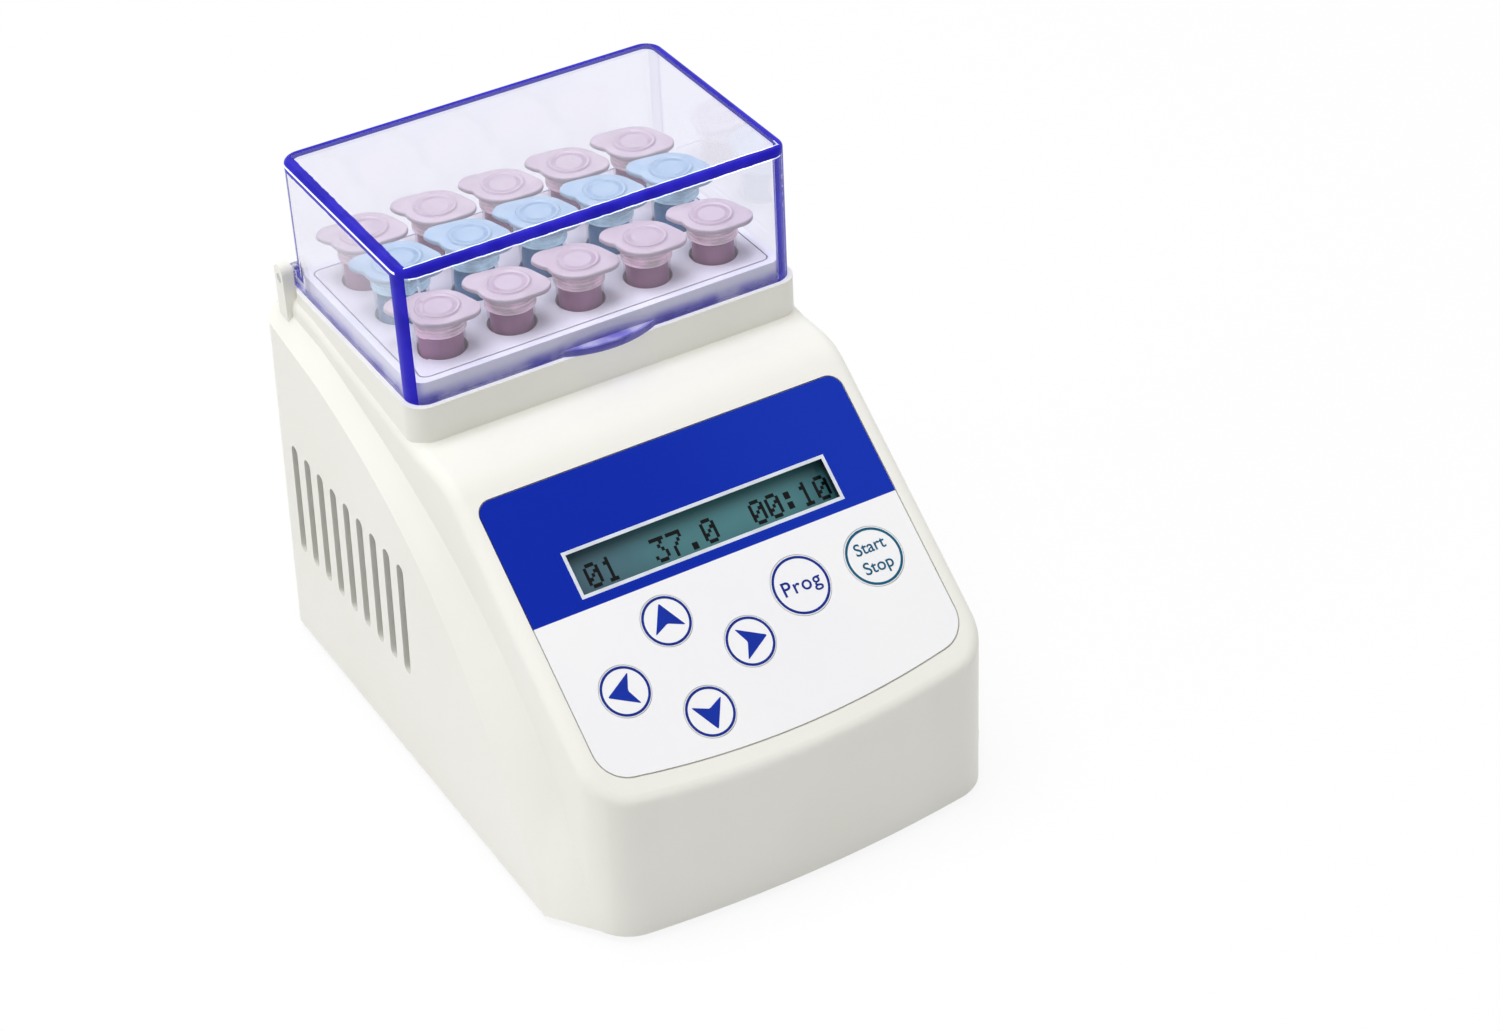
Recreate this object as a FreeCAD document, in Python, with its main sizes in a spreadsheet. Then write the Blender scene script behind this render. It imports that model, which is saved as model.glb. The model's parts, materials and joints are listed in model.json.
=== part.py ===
import FreeCAD, Part
import math
import os
import re

import Sketcher
from FreeCAD import Rotation, Vector

# Dry block heater: a moulded case with a sloping control panel and a heated
# aluminium block for small sample tubes under a clear hinged lid.
# Frame: +Z up, front towards -Y, origin on the ground at the middle of the
# object's footprint. Millimetres and degrees.

DIMENSIONS = {
    # case
    "case_height": 94.0,  # from the case's lower edge to the seat of the lid
    "nose_side": 0.9,  # each side of the nose beyond the collar
    "flank_reach": 7.0,  # a side wall's lower edge beyond the nose's side
    "flank_draft": 2.1,
    "wall": 2.4,
    "bow_radius": 318.0,  # the front wall bows out in plan
    "nose_corner": 10.5,
    "rear_corner": 3.0,
    "edge_round": 3.2,
    "bend_round": 16.0,
    "shoulder_drop": 8.9,  # shoulder ahead of the collar, below the lid's seat
    "rear_drop": 2.0,  # top of the case behind the shoulder's rise
    "rise_foot": 68.5,  # from the back wall to the foot of that rise
    "rise_top": 16.5,
    "root_sink": 3.4,  # a flank's hidden root inside the nose's side
    # panel
    "panel_angle": 37.3,
    "panel_setback": 59.6,  # front wall to the upper edge of the overlay
    "panel_drop": 13.6,  # that edge below the lid's seat
    "panel_lead": 20.6,  # from that edge to the lid's front face
    "overlay_inset": 4.4,  # from each side of the nose
    "overlay_side": 65.1,  # length of the overlay's straight sides
    "overlay_bow": 218.0,
    "overlay_film": 0.8,
    "overlay_gap": 0.3,
    "overlay_top_round": 3.3,
    "overlay_foot_round": 7.6,
    "window_width": 65.4,
    "window_height": 11.4,
    "window_down": 21.85,  # overlay's upper edge to the window's middle
    # keys
    "arrow_radius": 5.75,
    "word_radius": 6.9,
    "key_gap": 0.15,
    "key_film": 0.4,
    "key_travel": 0.35,
    "stem_radius": 2.6,
    "stem_clear": 0.15,  # left between stem and switch at the end of the travel
    "arrow_middle_x": -17.2,  # middle of the four arrow keys
    "arrow_middle_v": -49.0,
    "arrow_spread_x": 15.3,
    "arrow_spread_v": 10.8,
    "prog_x": 14.5,
    "start_x": 33.2,
    "word_v": -41.7,
    # lid
    "lid_inset": 6.3,  # the lid's rear face ahead of the back wall
    "lid_clear": 2.4,  # the lid's faces beyond the bezel's
    "lid_height": 33.4,
    "lid_wall": 2.0,
    "lid_corner": 4.5,
    "lid_edge": 1.0,
    "lid_gap": 0.15,
    "lip_width": 22.8,
    "lip_reach": 2.85,
    "lip_height": 1.6,
    "hinge_back": 0.8,  # hinge axis behind the lid's rear face
    "hinge_rise": 2.65,  # and above the lid's seat
    "ear_radius": 2.4,
    "pin_radius": 1.1,
    "pin_fit": 0.05,
    "hinge_fit": 0.08,
    "lug_width": 2.8,
    "lug_radius": 2.2,
    "lug_rise": 1.2,  # middle of the lug's round top above the hinge axis
    "lug_gap": 0.4,
    "stop_gap": 3.1,  # hinge axis to the stop behind the lid's ear
    "stop_depth": 2.0,
    "stop_drop": 0.55,  # stop's top below the hinge axis, which sets the lid's range
    # collar and bezel
    "collar_margin": 1.0,  # collar beyond the lid's faces
    "collar_corner": 5.0,
    "bezel_rim": 2.1,  # bezel beyond the block's faces
    "bezel_corner": 2.5,
    "bezel_rise": 4.6,  # above the lid's seat
    "bezel_sink": 2.5,
    "bezel_gap": 0.25,
    # block and tubes
    "block_edge": 9.0,  # from the outer bores' axes to the block's faces
    "block_height": 34.0,
    "block_corner": 1.6,
    "block_gap": 0.4,
    "pitch": 17.0,
    "bore_radius": 5.55,
    "bore_straight": 13.2,
    "bore_depth": 31.4,
    "bore_tip": 2.1,
    "tube_gap": 0.25,
    "tube_tip": 1.5,
    "front_stand": 6.2,  # underside of the tubes' rims above the block, row by row
    "middle_stand": 8.4,
    "rear_stand": 7.4,
    "rim_radius": 6.2,
    "rim_height": 1.3,
    "cap_radius": 6.5,
    "cap_height": 2.6,
    "cap_bevel": 0.65,
    "cap_ring": 4.9,
    "cap_ring_height": 0.5,
    "cap_turn": 37.0,  # tab and strap, turned from the block's length
    "tab_reach": 10.2,
    "tab_width": 4.8,
    "strap_reach": 9.2,
    "strap_width": 3.6,
    "tongue_root": 4.0,  # where the cap's tongues start, from the tube's axis
    "tongue_width": 10.2,  # their width there
    "strap_height": 1.2,
    # heater stack
    "heater_height": 2.4,
    "pad_height": 2.6,
    "tray_height": 1.5,
    "jacket_wall": 3.2,
    "jacket_height": 20.0,
    "jacket_gap": 0.3,
    "tray_margin": 1.0,
    "pillar_radius": 3.0,
    "pillar_inset": 5.0,  # from the block's faces
    "cutout_radius": 7.5,
    "cutout_height": 4.0,
    "tag_width": 12.0,
    "tag_depth": 4.0,
    "tag_thick": 1.0,
    "probe_radius": 1.6,
    "probe_length": 20.0,
    "probe_depth": 13.0,
    "probe_up": 5.0,
    "probe_fit": 0.1,
    # vents
    "vent_count": 9,
    "vent_pitch": 6.9,
    "vent_width": 3.3,
    "vent_length": 29.6,
    "vent_back": 9.8,  # back wall to the last slot's middle
    "vent_drop": 54.4,  # slots' middle below the lid's seat
    # electronics
    "display_depth": 5.0,
    "display_side": 2.9,  # display frame beyond each side of the window
    "display_end": 5.3,
    "glass_sink": 0.4,
    "glass_thick": 2.0,
    "board_thick": 1.6,
    "display_board_side": 4.4,  # board beyond the display frame's sides
    "display_board_end": 2.0,
    "spacer_radius": 1.8,
    "control_depth": 12.4,  # panel's face to the control board's face
    "control_clear": 3.0,  # from the nose's walls
    "control_height": 62.0,
    "control_down": 3.0,
    "post_radius": 2.4,
    "post_inset": 3.2,
    "chip_width": 12.0,
    "switch_base": 6.0,
    "switch_height": 3.6,
    "plunger_radius": 1.7,
    "plunger_height": 1.4,
    "buzzer_radius": 6.0,
    "buzzer_height": 7.0,
    "buzzer_u": 22.0,
    "power_board_clear": 2.0,  # from the pillars
    "power_board_depth": 44.0,
    "power_board_back": 40.5,  # back wall to the board's middle
    "standoff_height": 6.0,
    "sink_width": 22.0,
    "sink_depth": 1.6,
    "sink_height": 22.0,
    "can_height": 18.0,
    "terminal_height": 12.0,
    # base
    "foot_proud": 2.0,
    "base_thick": 2.4,
    "base_fit": 0.3,
    "base_recess": 0.4,
    "foot_radius": 5.5,
    "foot_taper": 0.4,
    "foot_rear_side": 7.4,  # from the nose's side
    "foot_rear_inset": 14.5,  # from the back wall
    "foot_front_side": 17.4,
    "foot_front_inset": 18.0,  # from the front wall
    "boss_radius": 3.5,
    "boss_height": 20.0,
    "boss_rear_side": 5.4,  # from the flank's lower edge
    "boss_rear_inset": 5.3,
    "boss_front_side": 7.4,  # from the nose's side
    "boss_front_inset": 9.0,
    "screw_radius": 1.5,
    "screw_head": 2.8,
    "screw_head_height": 1.4,
    "screw_length": 10.0,
    "screw_fit": 0.1,
    # back wall
    "rocker_x": 27.0,
    "rocker_z": 24.0,
    "switch_width": 15.0,
    "switch_tall": 21.0,
    "switch_flange": 1.6,
    "switch_body_width": 12.8,
    "switch_body_tall": 18.8,
    "switch_body_depth": 14.0,
    "switch_wall": 1.2,
    "rocker_gap": 0.3,
    "rocker_proud": 2.5,  # furthest point behind the back wall
    "rocker_tilt": 10.0,
    "pivot_radius": 1.2,
    "pivot_fit": 0.05,
    "pivot_reach": 0.8,  # into the frame's side walls
    "pivot_sink": 1.6,  # pivot's axis inside the back wall's face
    "inlet_x": -27.0,
    "inlet_z": 22.0,
    "inlet_radius": 5.6,
    "inlet_flange": 7.6,
    "inlet_flange_height": 1.4,
    "inlet_depth": 14.0,
    "inlet_bore": 2.9,
    "inlet_bore_depth": 10.0,
    "inlet_pin": 1.0,
    "cutout_fit": 0.2,
}

COLUMNS = (-2, -1, 0, 1, 2)
ROWS = (-1, 0, 1)

# Sizes that follow from those, from the bores outwards.
FOLLOWING = {
    "block_width": f"{len(COLUMNS) - 1} * pitch + 2 * block_edge",
    "block_depth": f"{len(ROWS) - 1} * pitch + 2 * block_edge",
    "bezel_width": "block_width + 2 * bezel_rim",
    "bezel_depth": "block_depth + 2 * bezel_rim",
    "lid_width": "bezel_width + 2 * lid_clear",
    "lid_depth": "bezel_depth + 2 * lid_clear",
    "case_depth": "panel_setback + panel_lead + lid_depth + lid_inset",
    "collar_width": "lid_width + 2 * collar_margin",
    "collar_depth": "lid_depth + 2 * collar_margin",
    "nose_width": "collar_width + 2 * nose_side",
    "flank_width": "nose_width + 2 * flank_reach",
    "flank_root": "nose_width / 2 - root_sink",
    "overlay_width": "nose_width - 2 * overlay_inset",
    "well_width": "block_width + 2 * block_gap",
    "well_depth": "block_depth + 2 * block_gap",
    "jacket_width": "block_width + 2 * jacket_gap + 2 * jacket_wall",
    "jacket_depth": "block_depth + 2 * jacket_gap + 2 * jacket_wall",
    "pillar_x": "block_width / 2 - pillar_inset",
    "pillar_y": "block_depth / 2 - pillar_inset",
    "display_width": "window_width + 2 * display_side",
    "display_height": "window_height + 2 * display_end",
    "display_board_width": "display_width + 2 * display_board_side",
    "display_board_height": "display_height + 2 * display_board_end",
    "control_width": "nose_width - 2 * wall - 2 * control_clear",
    "power_board_width": "2 * (pillar_x - pillar_radius - power_board_clear)",
    "room_width": "switch_body_width - 2 * switch_wall",
    "room_tall": "switch_body_tall - 2 * switch_wall",
}

doc = FreeCAD.newDocument("dry_block_heater")
sheet = doc.addObject("Spreadsheet::Sheet", "Sizes")
formulas = {alias: "=" + text for alias, text in FOLLOWING.items()}
for row, (alias, size) in enumerate({**DIMENSIONS, **formulas}.items(), start=1):
    sheet.set(f"A{row}", alias.replace("_", " "))
    sheet.set(f"B{row}", str(size))
    sheet.setAlias(f"B{row}", alias)
doc.recompute()

ALIASES = re.compile(r"\b(" + "|".join([*DIMENSIONS, *FOLLOWING]) + r")\b")
TINY = 1e-6
NEAR = 0.01  # how close an edge lies to where it is looked for
THROUGH = "3 * case_depth"
nodes = {}

# Places that several pieces share, as expressions on the sheet.
FRONT = "-(case_depth + rocker_proud) / 2"
BACK = "(case_depth - rocker_proud) / 2"
SEAT = "(foot_proud + case_height)"
LID_BACK = f"({BACK} - lid_inset)"
LID_FRONT = f"({LID_BACK} - lid_depth)"
BLOCK_Y = f"({LID_BACK} - lid_depth / 2)"
BLOCK_TOP = f"({SEAT} + bezel_rise)"
BLOCK_FOOT = f"({BLOCK_TOP} - block_height)"
TRAY_TOP = f"({BLOCK_FOOT} - heater_height - pad_height)"
HINGE_Y = f"({LID_BACK} + hinge_back)"
HINGE_Z = f"({SEAT} + hinge_rise)"
PANEL_Y = f"({FRONT} + panel_setback)"
PANEL_Z = f"({SEAT} - panel_drop)"
BASE_TOP = "(foot_proud + base_recess + base_thick)"
PIVOT_Y = f"({BACK} - pivot_sink)"


def linked(text):
    """The expression with each size read from the sheet."""
    return ALIASES.sub(r"Sizes.\1", text)


def number(text):
    """The value of an expression."""
    return float(sheet.evalExpression(linked(text)))


def bind(item, prop, text):
    item.setExpression(prop, linked(text))


def keep(label, item):
    """Names a finished sub-part."""
    item.Label = label
    nodes[label] = item
    return item


# Placing


def place(item, x="0", y="0", z="0"):
    for axis, text in zip("xyz", (x, y, z)):
        bind(item, f"Placement.Base.{axis}", text)
    return item


def turn(item, axis, angle):
    item.Placement.Rotation = Rotation(axis, angle)
    return item


def on_panel(item, u="0", v="0", w="0"):
    """u across the panel, v up its slope from the overlay's upper edge, w outwards."""
    item.Placement.Rotation = Rotation(Vector(1, 0, 0), number("panel_angle"))
    bind(item, "Placement.Rotation.Angle", "panel_angle")
    along = f"{PANEL_Y} + ({v}) * cos(panel_angle) - ({w}) * sin(panel_angle)"
    up = f"{PANEL_Z} + ({v}) * sin(panel_angle) + ({w}) * cos(panel_angle)"
    return place(item, u, along, up)


# Part primitives and booleans


def block(name, length, width, height):
    item = doc.addObject("Part::Box", name)
    for prop, text in (("Length", length), ("Width", width), ("Height", height)):
        bind(item, prop, text)
    return item


def centred(name, length, width, height, x="0", y="0", z="0"):
    """A box standing on z with its middle at x, y."""
    item = block(name, length, width, height)
    return place(item, f"{x} - ({length}) / 2", f"{y} - ({width}) / 2", z)


def rod(name, radius, height):
    item = doc.addObject("Part::Cylinder", name)
    bind(item, "Radius", radius)
    bind(item, "Height", height)
    return item


def cone(name, low_radius, high_radius, height):
    item = doc.addObject("Part::Cone", name)
    bind(item, "Radius1", low_radius)
    bind(item, "Radius2", high_radius)
    bind(item, "Height", height)
    return item


def fused(name, items):
    item = doc.addObject("Part::MultiFuse", name)
    item.Shapes = items
    item.Refine = True
    return item


def group(name, items):
    item = doc.addObject("Part::Compound", name)
    item.Links = items
    return item


def cut(name, base, tools):
    item = doc.addObject("Part::Cut", name)
    item.Base = base
    item.Tool = tools[0] if len(tools) == 1 else group(name + "_tools", tools)
    item.Refine = True
    return item


def common(name, base, tool):
    item = doc.addObject("Part::Common", name)
    item.Base = base
    item.Tool = tool
    return item


# PartDesign bodies


def new_body(name):
    return doc.addObject("PartDesign::Body", name)


def new_sketch(body, name, role, lift="0"):
    """A sketch on one of the body's origin planes, lifted along its normal."""
    sketch = body.newObject("Sketcher::SketchObject", name)
    plane = next(item for item in body.Origin.OriginFeatures if item.Role == role)
    sketch.AttachmentSupport = [(plane, "")]
    sketch.MapMode = "FlatFace"
    bind(sketch, "AttachmentOffset.Base.z", lift)
    return sketch


def pin_point(sketch, edge, end, x, y):
    """Ties a point of the sketch to its expressions."""
    for kind, text, axis in (("DistanceX", x, -2), ("DistanceY", y, -1)):
        size = number(text)
        if abs(size) < TINY:
            sketch.addConstraint(Sketcher.Constraint("PointOnObject", edge, end, axis))
            continue
        index = sketch.addConstraint(Sketcher.Constraint(kind, -1, 1, edge, end, size))
        bind(sketch, f"Constraints[{index}]", text)


def bowed(start, end, radius):
    """The arc from start to end that bulges to the right of the way it runs."""
    chord = end - start
    middle = (start + end) / 2
    side = Vector(chord.y, -chord.x, 0).normalize()
    rise = radius - math.sqrt(max(0, radius**2 - (chord.Length / 2) ** 2))
    return Part.Arc(start, middle + side * rise, end)


def curved(start, handles, end):
    bezier = Part.BezierCurve()
    bezier.setPoles([start, *handles, end])
    return bezier.toBSpline()


def loop(body, name, role, corners, lift="0"):
    """A closed outline, anticlockwise. A corner is (x, y), with a third entry
    where the edge to the next corner is a bow of that radius or has two handles."""
    sketch = new_sketch(body, name, role, lift)
    points = [Vector(number(corner[0]), number(corner[1]), 0) for corner in corners]
    for index, corner in enumerate(corners):
        start, end = points[index], points[(index + 1) % len(points)]
        if len(corner) == 2:
            sketch.addGeometry(Part.LineSegment(start, end))
        elif isinstance(corner[2], str):
            sketch.addGeometry(bowed(start, end, number(corner[2])))
        else:
            handles = [Vector(number(x), number(y), 0) for x, y in corner[2]]
            sketch.addGeometry(curved(start, handles, end))
    for index, corner in enumerate(corners):
        following = (index + 1) % len(corners)
        sketch.addConstraint(Sketcher.Constraint("Coincident", index, 2, following, 1))
        pin_point(sketch, index, 1, corner[0], corner[1])
        if len(corner) == 3 and isinstance(corner[2], str):
            radius = number(corner[2])
            chord = (points[following] - points[index]).Length
            if 2 * radius < chord + TINY:
                continue  # a half circle is set by its two ends
            bow = sketch.addConstraint(Sketcher.Constraint("Radius", index, radius))
            bind(sketch, f"Constraints[{bow}]", corner[2])
    return sketch


def ring(body, name, role, x, y, radius, lift="0"):
    sketch = new_sketch(body, name, role, lift)
    centre = Vector(number(x), number(y), 0)
    sketch.addGeometry(Part.Circle(centre, Vector(0, 0, 1), number(radius)))
    pin_point(sketch, 0, 3, x, y)
    index = sketch.addConstraint(Sketcher.Constraint("Radius", 0, number(radius)))
    bind(sketch, f"Constraints[{index}]", radius)
    return sketch


def rectangle(x, y, width, depth):
    """The corners of a rectangle with its middle at x, y."""
    left, right = f"{x} - ({width}) / 2", f"{x} + ({width}) / 2"
    near, far = f"{y} - ({depth}) / 2", f"{y} + ({depth}) / 2"
    return [(left, near), (right, near), (right, far), (left, far)]


def extrude(body, kind, name, sketch, length, both=False, backwards=False):
    feature = body.newObject(f"PartDesign::{kind}", name)
    feature.Profile = sketch
    bind(feature, "Length", length)
    feature.Midplane = both
    feature.Reversed = backwards
    sketch.Visibility = False
    return feature


def pad(body, name, sketch, length, both=False, backwards=False):
    return extrude(body, "Pad", name, sketch, length, both, backwards)


def pocket(body, name, sketch, length, both=False, backwards=False):
    return extrude(body, "Pocket", name, sketch, length, both, backwards)


def edges(item, test):
    """The names of the edges that pass a test."""
    doc.recompute()
    return [f"Edge{n}" for n, edge in enumerate(item.Shape.Edges, start=1) if test(edge)]


def upright(edge):
    """Whether an edge stands along Z."""
    start, end = edge.Vertexes[0].Point, edge.Vertexes[-1].Point
    return abs(end.z - start.z) > 0.99 * edge.Length > 0


def rounded(body, name, base, test, radius, kind="Fillet"):
    names = edges(base, test)
    feature = body.newObject(f"PartDesign::{kind}", name)
    feature.Base = (base, names)
    bind(feature, "Radius" if kind == "Fillet" else "Size", radius)
    return feature


def rounded_slab(name, x, y, z, width, depth, height, corner):
    """A plate with rounded upright edges and its middle at x, y."""
    body = new_body(name)
    outline = loop(body, name + "_outline", "XY_Plane", rectangle(x, y, width, depth), z)
    plate = pad(body, name + "_plate", outline, height)
    rounded(body, name + "_corners", plate, upright, corner)
    return body


# Case

# Handles of the two curves that bound each flank's hollow band, as shares of
# the case's depth from the front and of its height from the lower edge.
ROOT_CURVE = ((0.8746, 0.9702), (0.2034, 0.7447), (0.0610, 0.4255), (0.0356, 0.0))
SKIN_CURVE = ((0.8068, 0.8085), (0.4949, 0.7021), (0.2508, 0.2979), (0.1342, 0.0))
ROOT_REAR, SKIN_REAR = 0.9638, 0.8723
INSET_SHARE = 0.75  # a curve's handles move in along both axes by this share


def flank_outline(curve, rear, inset, floor):
    """A flank's side view: the curve down to the foot, the floor, the back and the top."""
    points = []
    for share_y, share_z in curve[:3]:
        along = f"{FRONT} + {share_y} * case_depth + {INSET_SHARE} * ({inset})"
        points.append((along, f"foot_proud + {share_z} * case_height - {INSET_SHARE} * ({inset})"))
    foot = (f"{FRONT} + {curve[3][0]} * case_depth + ({inset})", floor)
    back = f"{BACK} - ({inset})"
    top = f"foot_proud + {rear} * case_height - ({inset})"
    start = (points[0][0], points[0][1], points[1:])
    return [start, foot, (back, floor), (back, top)]


def flank(body, name, side, inset, floor):
    """A ruled loft from the flank's root inside the nose to its outer skin."""
    root_x = f"{side} * (flank_root - ({inset}))"
    skin_x = f"{side} * (flank_width / 2 - ({inset}))"
    root_view = flank_outline(ROOT_CURVE, ROOT_REAR, inset, floor)
    skin_view = flank_outline(SKIN_CURVE, SKIN_REAR, inset, floor)
    root = loop(body, name + "_root", "YZ_Plane", root_view, root_x)
    skin = loop(body, name + "_skin", "YZ_Plane", skin_view, skin_x)
    loft = body.newObject("PartDesign::AdditiveLoft", name)
    loft.Profile = root
    loft.Sections = [skin]
    loft.Ruled = True
    return loft


def draft_wedge(body, name, side, inset):
    """Leans a flank's outer face inwards towards the top."""
    foot = f"{side} * (flank_width / 2 - ({inset}))"
    lean = f"{side} * (flank_width / 2 - ({inset}) - (case_height + wall) * tan(flank_draft))"
    beyond = f"{side} * flank_width"
    top = f"{SEAT} + wall"
    corners = [(foot, "foot_proud"), (beyond, "foot_proud"), (beyond, top), (lean, top)]
    if side < 0:
        corners.reverse()
    outline = loop(body, name + "_outline", "XZ_Plane", corners)
    return pocket(body, name, outline, THROUGH, both=True)


def roof_profile(inset):
    """All that lies above the sloping panel, the shoulder and the rise behind it."""
    slope = "tan(panel_angle)"
    lead = "wall"
    normal = f"({inset}) / cos(panel_angle)"
    start_y = f"{FRONT} - {lead}"
    shoulder = f"{SEAT} - shoulder_drop - ({inset})"
    bend_y = f"{PANEL_Y} + (panel_drop - shoulder_drop - ({inset}) + {normal}) / {slope}"
    start_z = f"{PANEL_Z} - {normal} + ({start_y} - {PANEL_Y}) * {slope}"
    rear_z = f"{SEAT} - rear_drop - ({inset})"
    rear_y = f"{BACK} + {lead}"
    above = f"{SEAT} + case_height"
    return [
        (start_y, start_z),
        (bend_y, shoulder),
        (f"{BACK} - rise_foot", shoulder),
        (f"{BACK} - rise_top", rear_z),
        (rear_y, rear_z),
        (rear_y, above),
        (start_y, above),
    ]


def case_form(name, inset, floor):
    """The case's outer form, or the same form smaller all round by the inset."""
    body = new_body(name)
    half = f"(nose_width / 2 - ({inset}))"
    bow = f"(bow_radius - ({inset}))"
    front = f"{FRONT} + ({inset}) + {bow} - sqrt({bow} ^ 2 - {half} ^ 2)"
    back = f"{BACK} - ({inset})"
    plan = [("-" + half, front, bow), (half, front), (half, back), ("-" + half, back)]
    outline = loop(body, name + "_plan", "XY_Plane", plan, floor)
    core = pad(body, name + "_core", outline, f"{SEAT} - {floor}")
    core.Visibility = False
    profile = loop(body, name + "_profile", "YZ_Plane", roof_profile(inset))
    roof = pocket(body, name + "_roof", profile, THROUGH, both=True)

    def front_corner(edge):
        return upright(edge) and edge.CenterOfMass.y < 0

    last = rounded(body, name + "_nose", roof, front_corner, f"nose_corner - ({inset})")
    if inset == "0":
        last = soften(body, name, last)
    for side, word in ((1, "right"), (-1, "left")):
        flank(body, f"{name}_{word}", side, inset, floor)
    for side, word in ((1, "right"), (-1, "left")):
        last = draft_wedge(body, f"{name}_{word}_draft", side, inset)
    if inset == "0":
        last = soften_flanks(body, name, last)
    body.Tip = last
    return body


def soften_flanks(body, name, base):
    """Rounds the upright rear corners of both flanks."""
    back, side = number(BACK), number("nose_width / 2")

    def rear_corner(edge):
        middle = edge.CenterOfMass
        return upright(edge) and abs(middle.y - back) < NEAR and abs(middle.x) > side

    return rounded(body, name + "_rear", base, rear_corner, "rear_corner")


def soften(body, name, base):
    """Rounds the bend above the panel, then the edges of the nose's top."""
    bend_y = number(f"{PANEL_Y} + (panel_drop - shoulder_drop) / tan(panel_angle)")
    shoulder = number(f"{SEAT} - shoulder_drop")
    half = number("nose_width / 2")
    foot, front = number("foot_proud"), number(f"{FRONT} + nose_corner")

    def at_bend(edge):
        middle = edge.CenterOfMass
        across = edge.BoundBox.XLength > half
        return across and abs(middle.y - bend_y) < NEAR and abs(middle.z - shoulder) < NEAR

    bend = rounded(body, name + "_bend", base, at_bend, "bend_round")

    def on_top(edge):
        box = edge.BoundBox
        crossing = box.YLength < NEAR and box.XLength > half and box.YMax > front
        return box.ZMin > foot + NEAR and not crossing and not upright(edge)

    return rounded(body, name + "_edges", bend, on_top, "edge_round")


def collar_and_lugs():
    """The raised seat of the lid, and a lug with a stop at each end of its hinge."""
    root = f"({SEAT} - shoulder_drop - wall)"
    size = ("collar_width", "collar_depth", f"{SEAT} - {root}")
    parts = [rounded_slab("collar", "0", BLOCK_Y, root, *size, "collar_corner")]
    inner = "(lid_width / 2 + lug_gap)"
    low = f"({SEAT} - shoulder_drop)"
    top = f"{HINGE_Z} + lug_rise"
    near, far = f"{HINGE_Y} - lug_radius", f"{HINGE_Y} + lug_radius"
    for side, word in ((1, "right"), (-1, "left")):
        body = new_body(f"lug_{word}")
        corners = [(near, low), (far, low), (far, top, "lug_radius"), (near, top)]
        middle = f"{side} * ({inner} + lug_width / 2)"
        outline = loop(body, f"lug_{word}_outline", "YZ_Plane", corners, middle)
        pad(body, f"lug_{word}_pad", outline, "lug_width", both=True)
        # the stop reaches from behind the lid's ear to the middle of the lug
        stop_top = f"{HINGE_Z} - stop_drop"
        stop_size = ("lug_width / 2 + 2 * lid_wall", "stop_depth", f"{stop_top} - {low}")
        stop_x = f"{side} * ({inner} + lug_width / 4 - lid_wall)"
        stop_y = f"{HINGE_Y} + stop_gap + stop_depth / 2"
        parts += [body, centred(f"stop_{word}", *stop_size, stop_x, stop_y, low)]
    return parts


def overlay_form(name, grow, film, sink):
    """The control panel's overlay, or the recess that takes it."""
    body = new_body(name)
    half = f"(overlay_width / 2 + {grow})"
    side = f"-(overlay_side + {grow})"
    corners = [("-" + half, side, "overlay_bow"), (half, side), (half, grow), ("-" + half, grow)]
    outline = loop(body, name + "_outline", "XY_Plane", corners)
    plate = pad(body, name + "_film", outline, film)
    middle = number(side) / 2

    def foot(edge):
        return upright(edge) and edge.CenterOfMass.y < middle

    def head(edge):
        return upright(edge) and edge.CenterOfMass.y > -NEAR

    feet = rounded(body, name + "_feet", plate, foot, f"overlay_foot_round + {grow}")
    rounded(body, name + "_heads", feet, head, f"overlay_top_round + {grow}")
    return on_panel(body, w=f"-({sink})")


KEYS = {
    "key_up": ("arrow_middle_x", "arrow_middle_v + arrow_spread_v", "arrow_radius"),
    "key_down": ("arrow_middle_x", "arrow_middle_v - arrow_spread_v", "arrow_radius"),
    "key_left": ("arrow_middle_x - arrow_spread_x", "arrow_middle_v", "arrow_radius"),
    "key_right": ("arrow_middle_x + arrow_spread_x", "arrow_middle_v", "arrow_radius"),
    "key_program": ("prog_x", "word_v", "word_radius"),
    "key_start": ("start_x", "word_v", "word_radius"),
}


def panel_holes(name, key_text, depth, window_grow):
    """Tools that open a sheet for the keys and the display."""
    tools = []
    for key, (u, v, radius) in KEYS.items():
        hole = rod(f"{name}_{key}", key_text.format(radius=radius), f"2 * ({depth})")
        tools.append(on_panel(hole, u, v, f"-({depth})"))
    width = f"window_width + 2 * ({window_grow})"
    height = f"window_height + 2 * ({window_grow})"
    window = block(f"{name}_window", width, height, f"2 * ({depth})")
    on_panel(window, f"-({width}) / 2", f"-window_down - ({height}) / 2", f"-({depth})")
    return tools + [window]


def vent_slots():
    """A row of upright round-ended slots that opens both flanks."""
    body = new_body("vents")
    half = "vent_width / 2"
    y = f"{BACK} - vent_back - (vent_count - 1) * vent_pitch"
    low = f"{SEAT} - vent_drop - (vent_length - vent_width) / 2"
    high = f"{SEAT} - vent_drop + (vent_length - vent_width) / 2"
    near, far = f"{y} - {half}", f"{y} + {half}"
    corners = [(near, low, half), (far, low), (far, high, half), (near, high)]
    outline = loop(body, "vent_outline", "YZ_Plane", corners)
    slot = pad(body, "vent", outline, "2 * flank_width", both=True)
    pattern = body.newObject("PartDesign::LinearPattern", "vent_row")
    pattern.Originals = [slot]
    axis = next(item for item in body.Origin.OriginFeatures if item.Role == "Y_Axis")
    pattern.Direction = (axis, [""])
    bind(pattern, "Length", "vent_pitch * (vent_count - 1)")
    bind(pattern, "Occurrences", "vent_count")
    body.Tip = pattern
    return body


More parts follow.
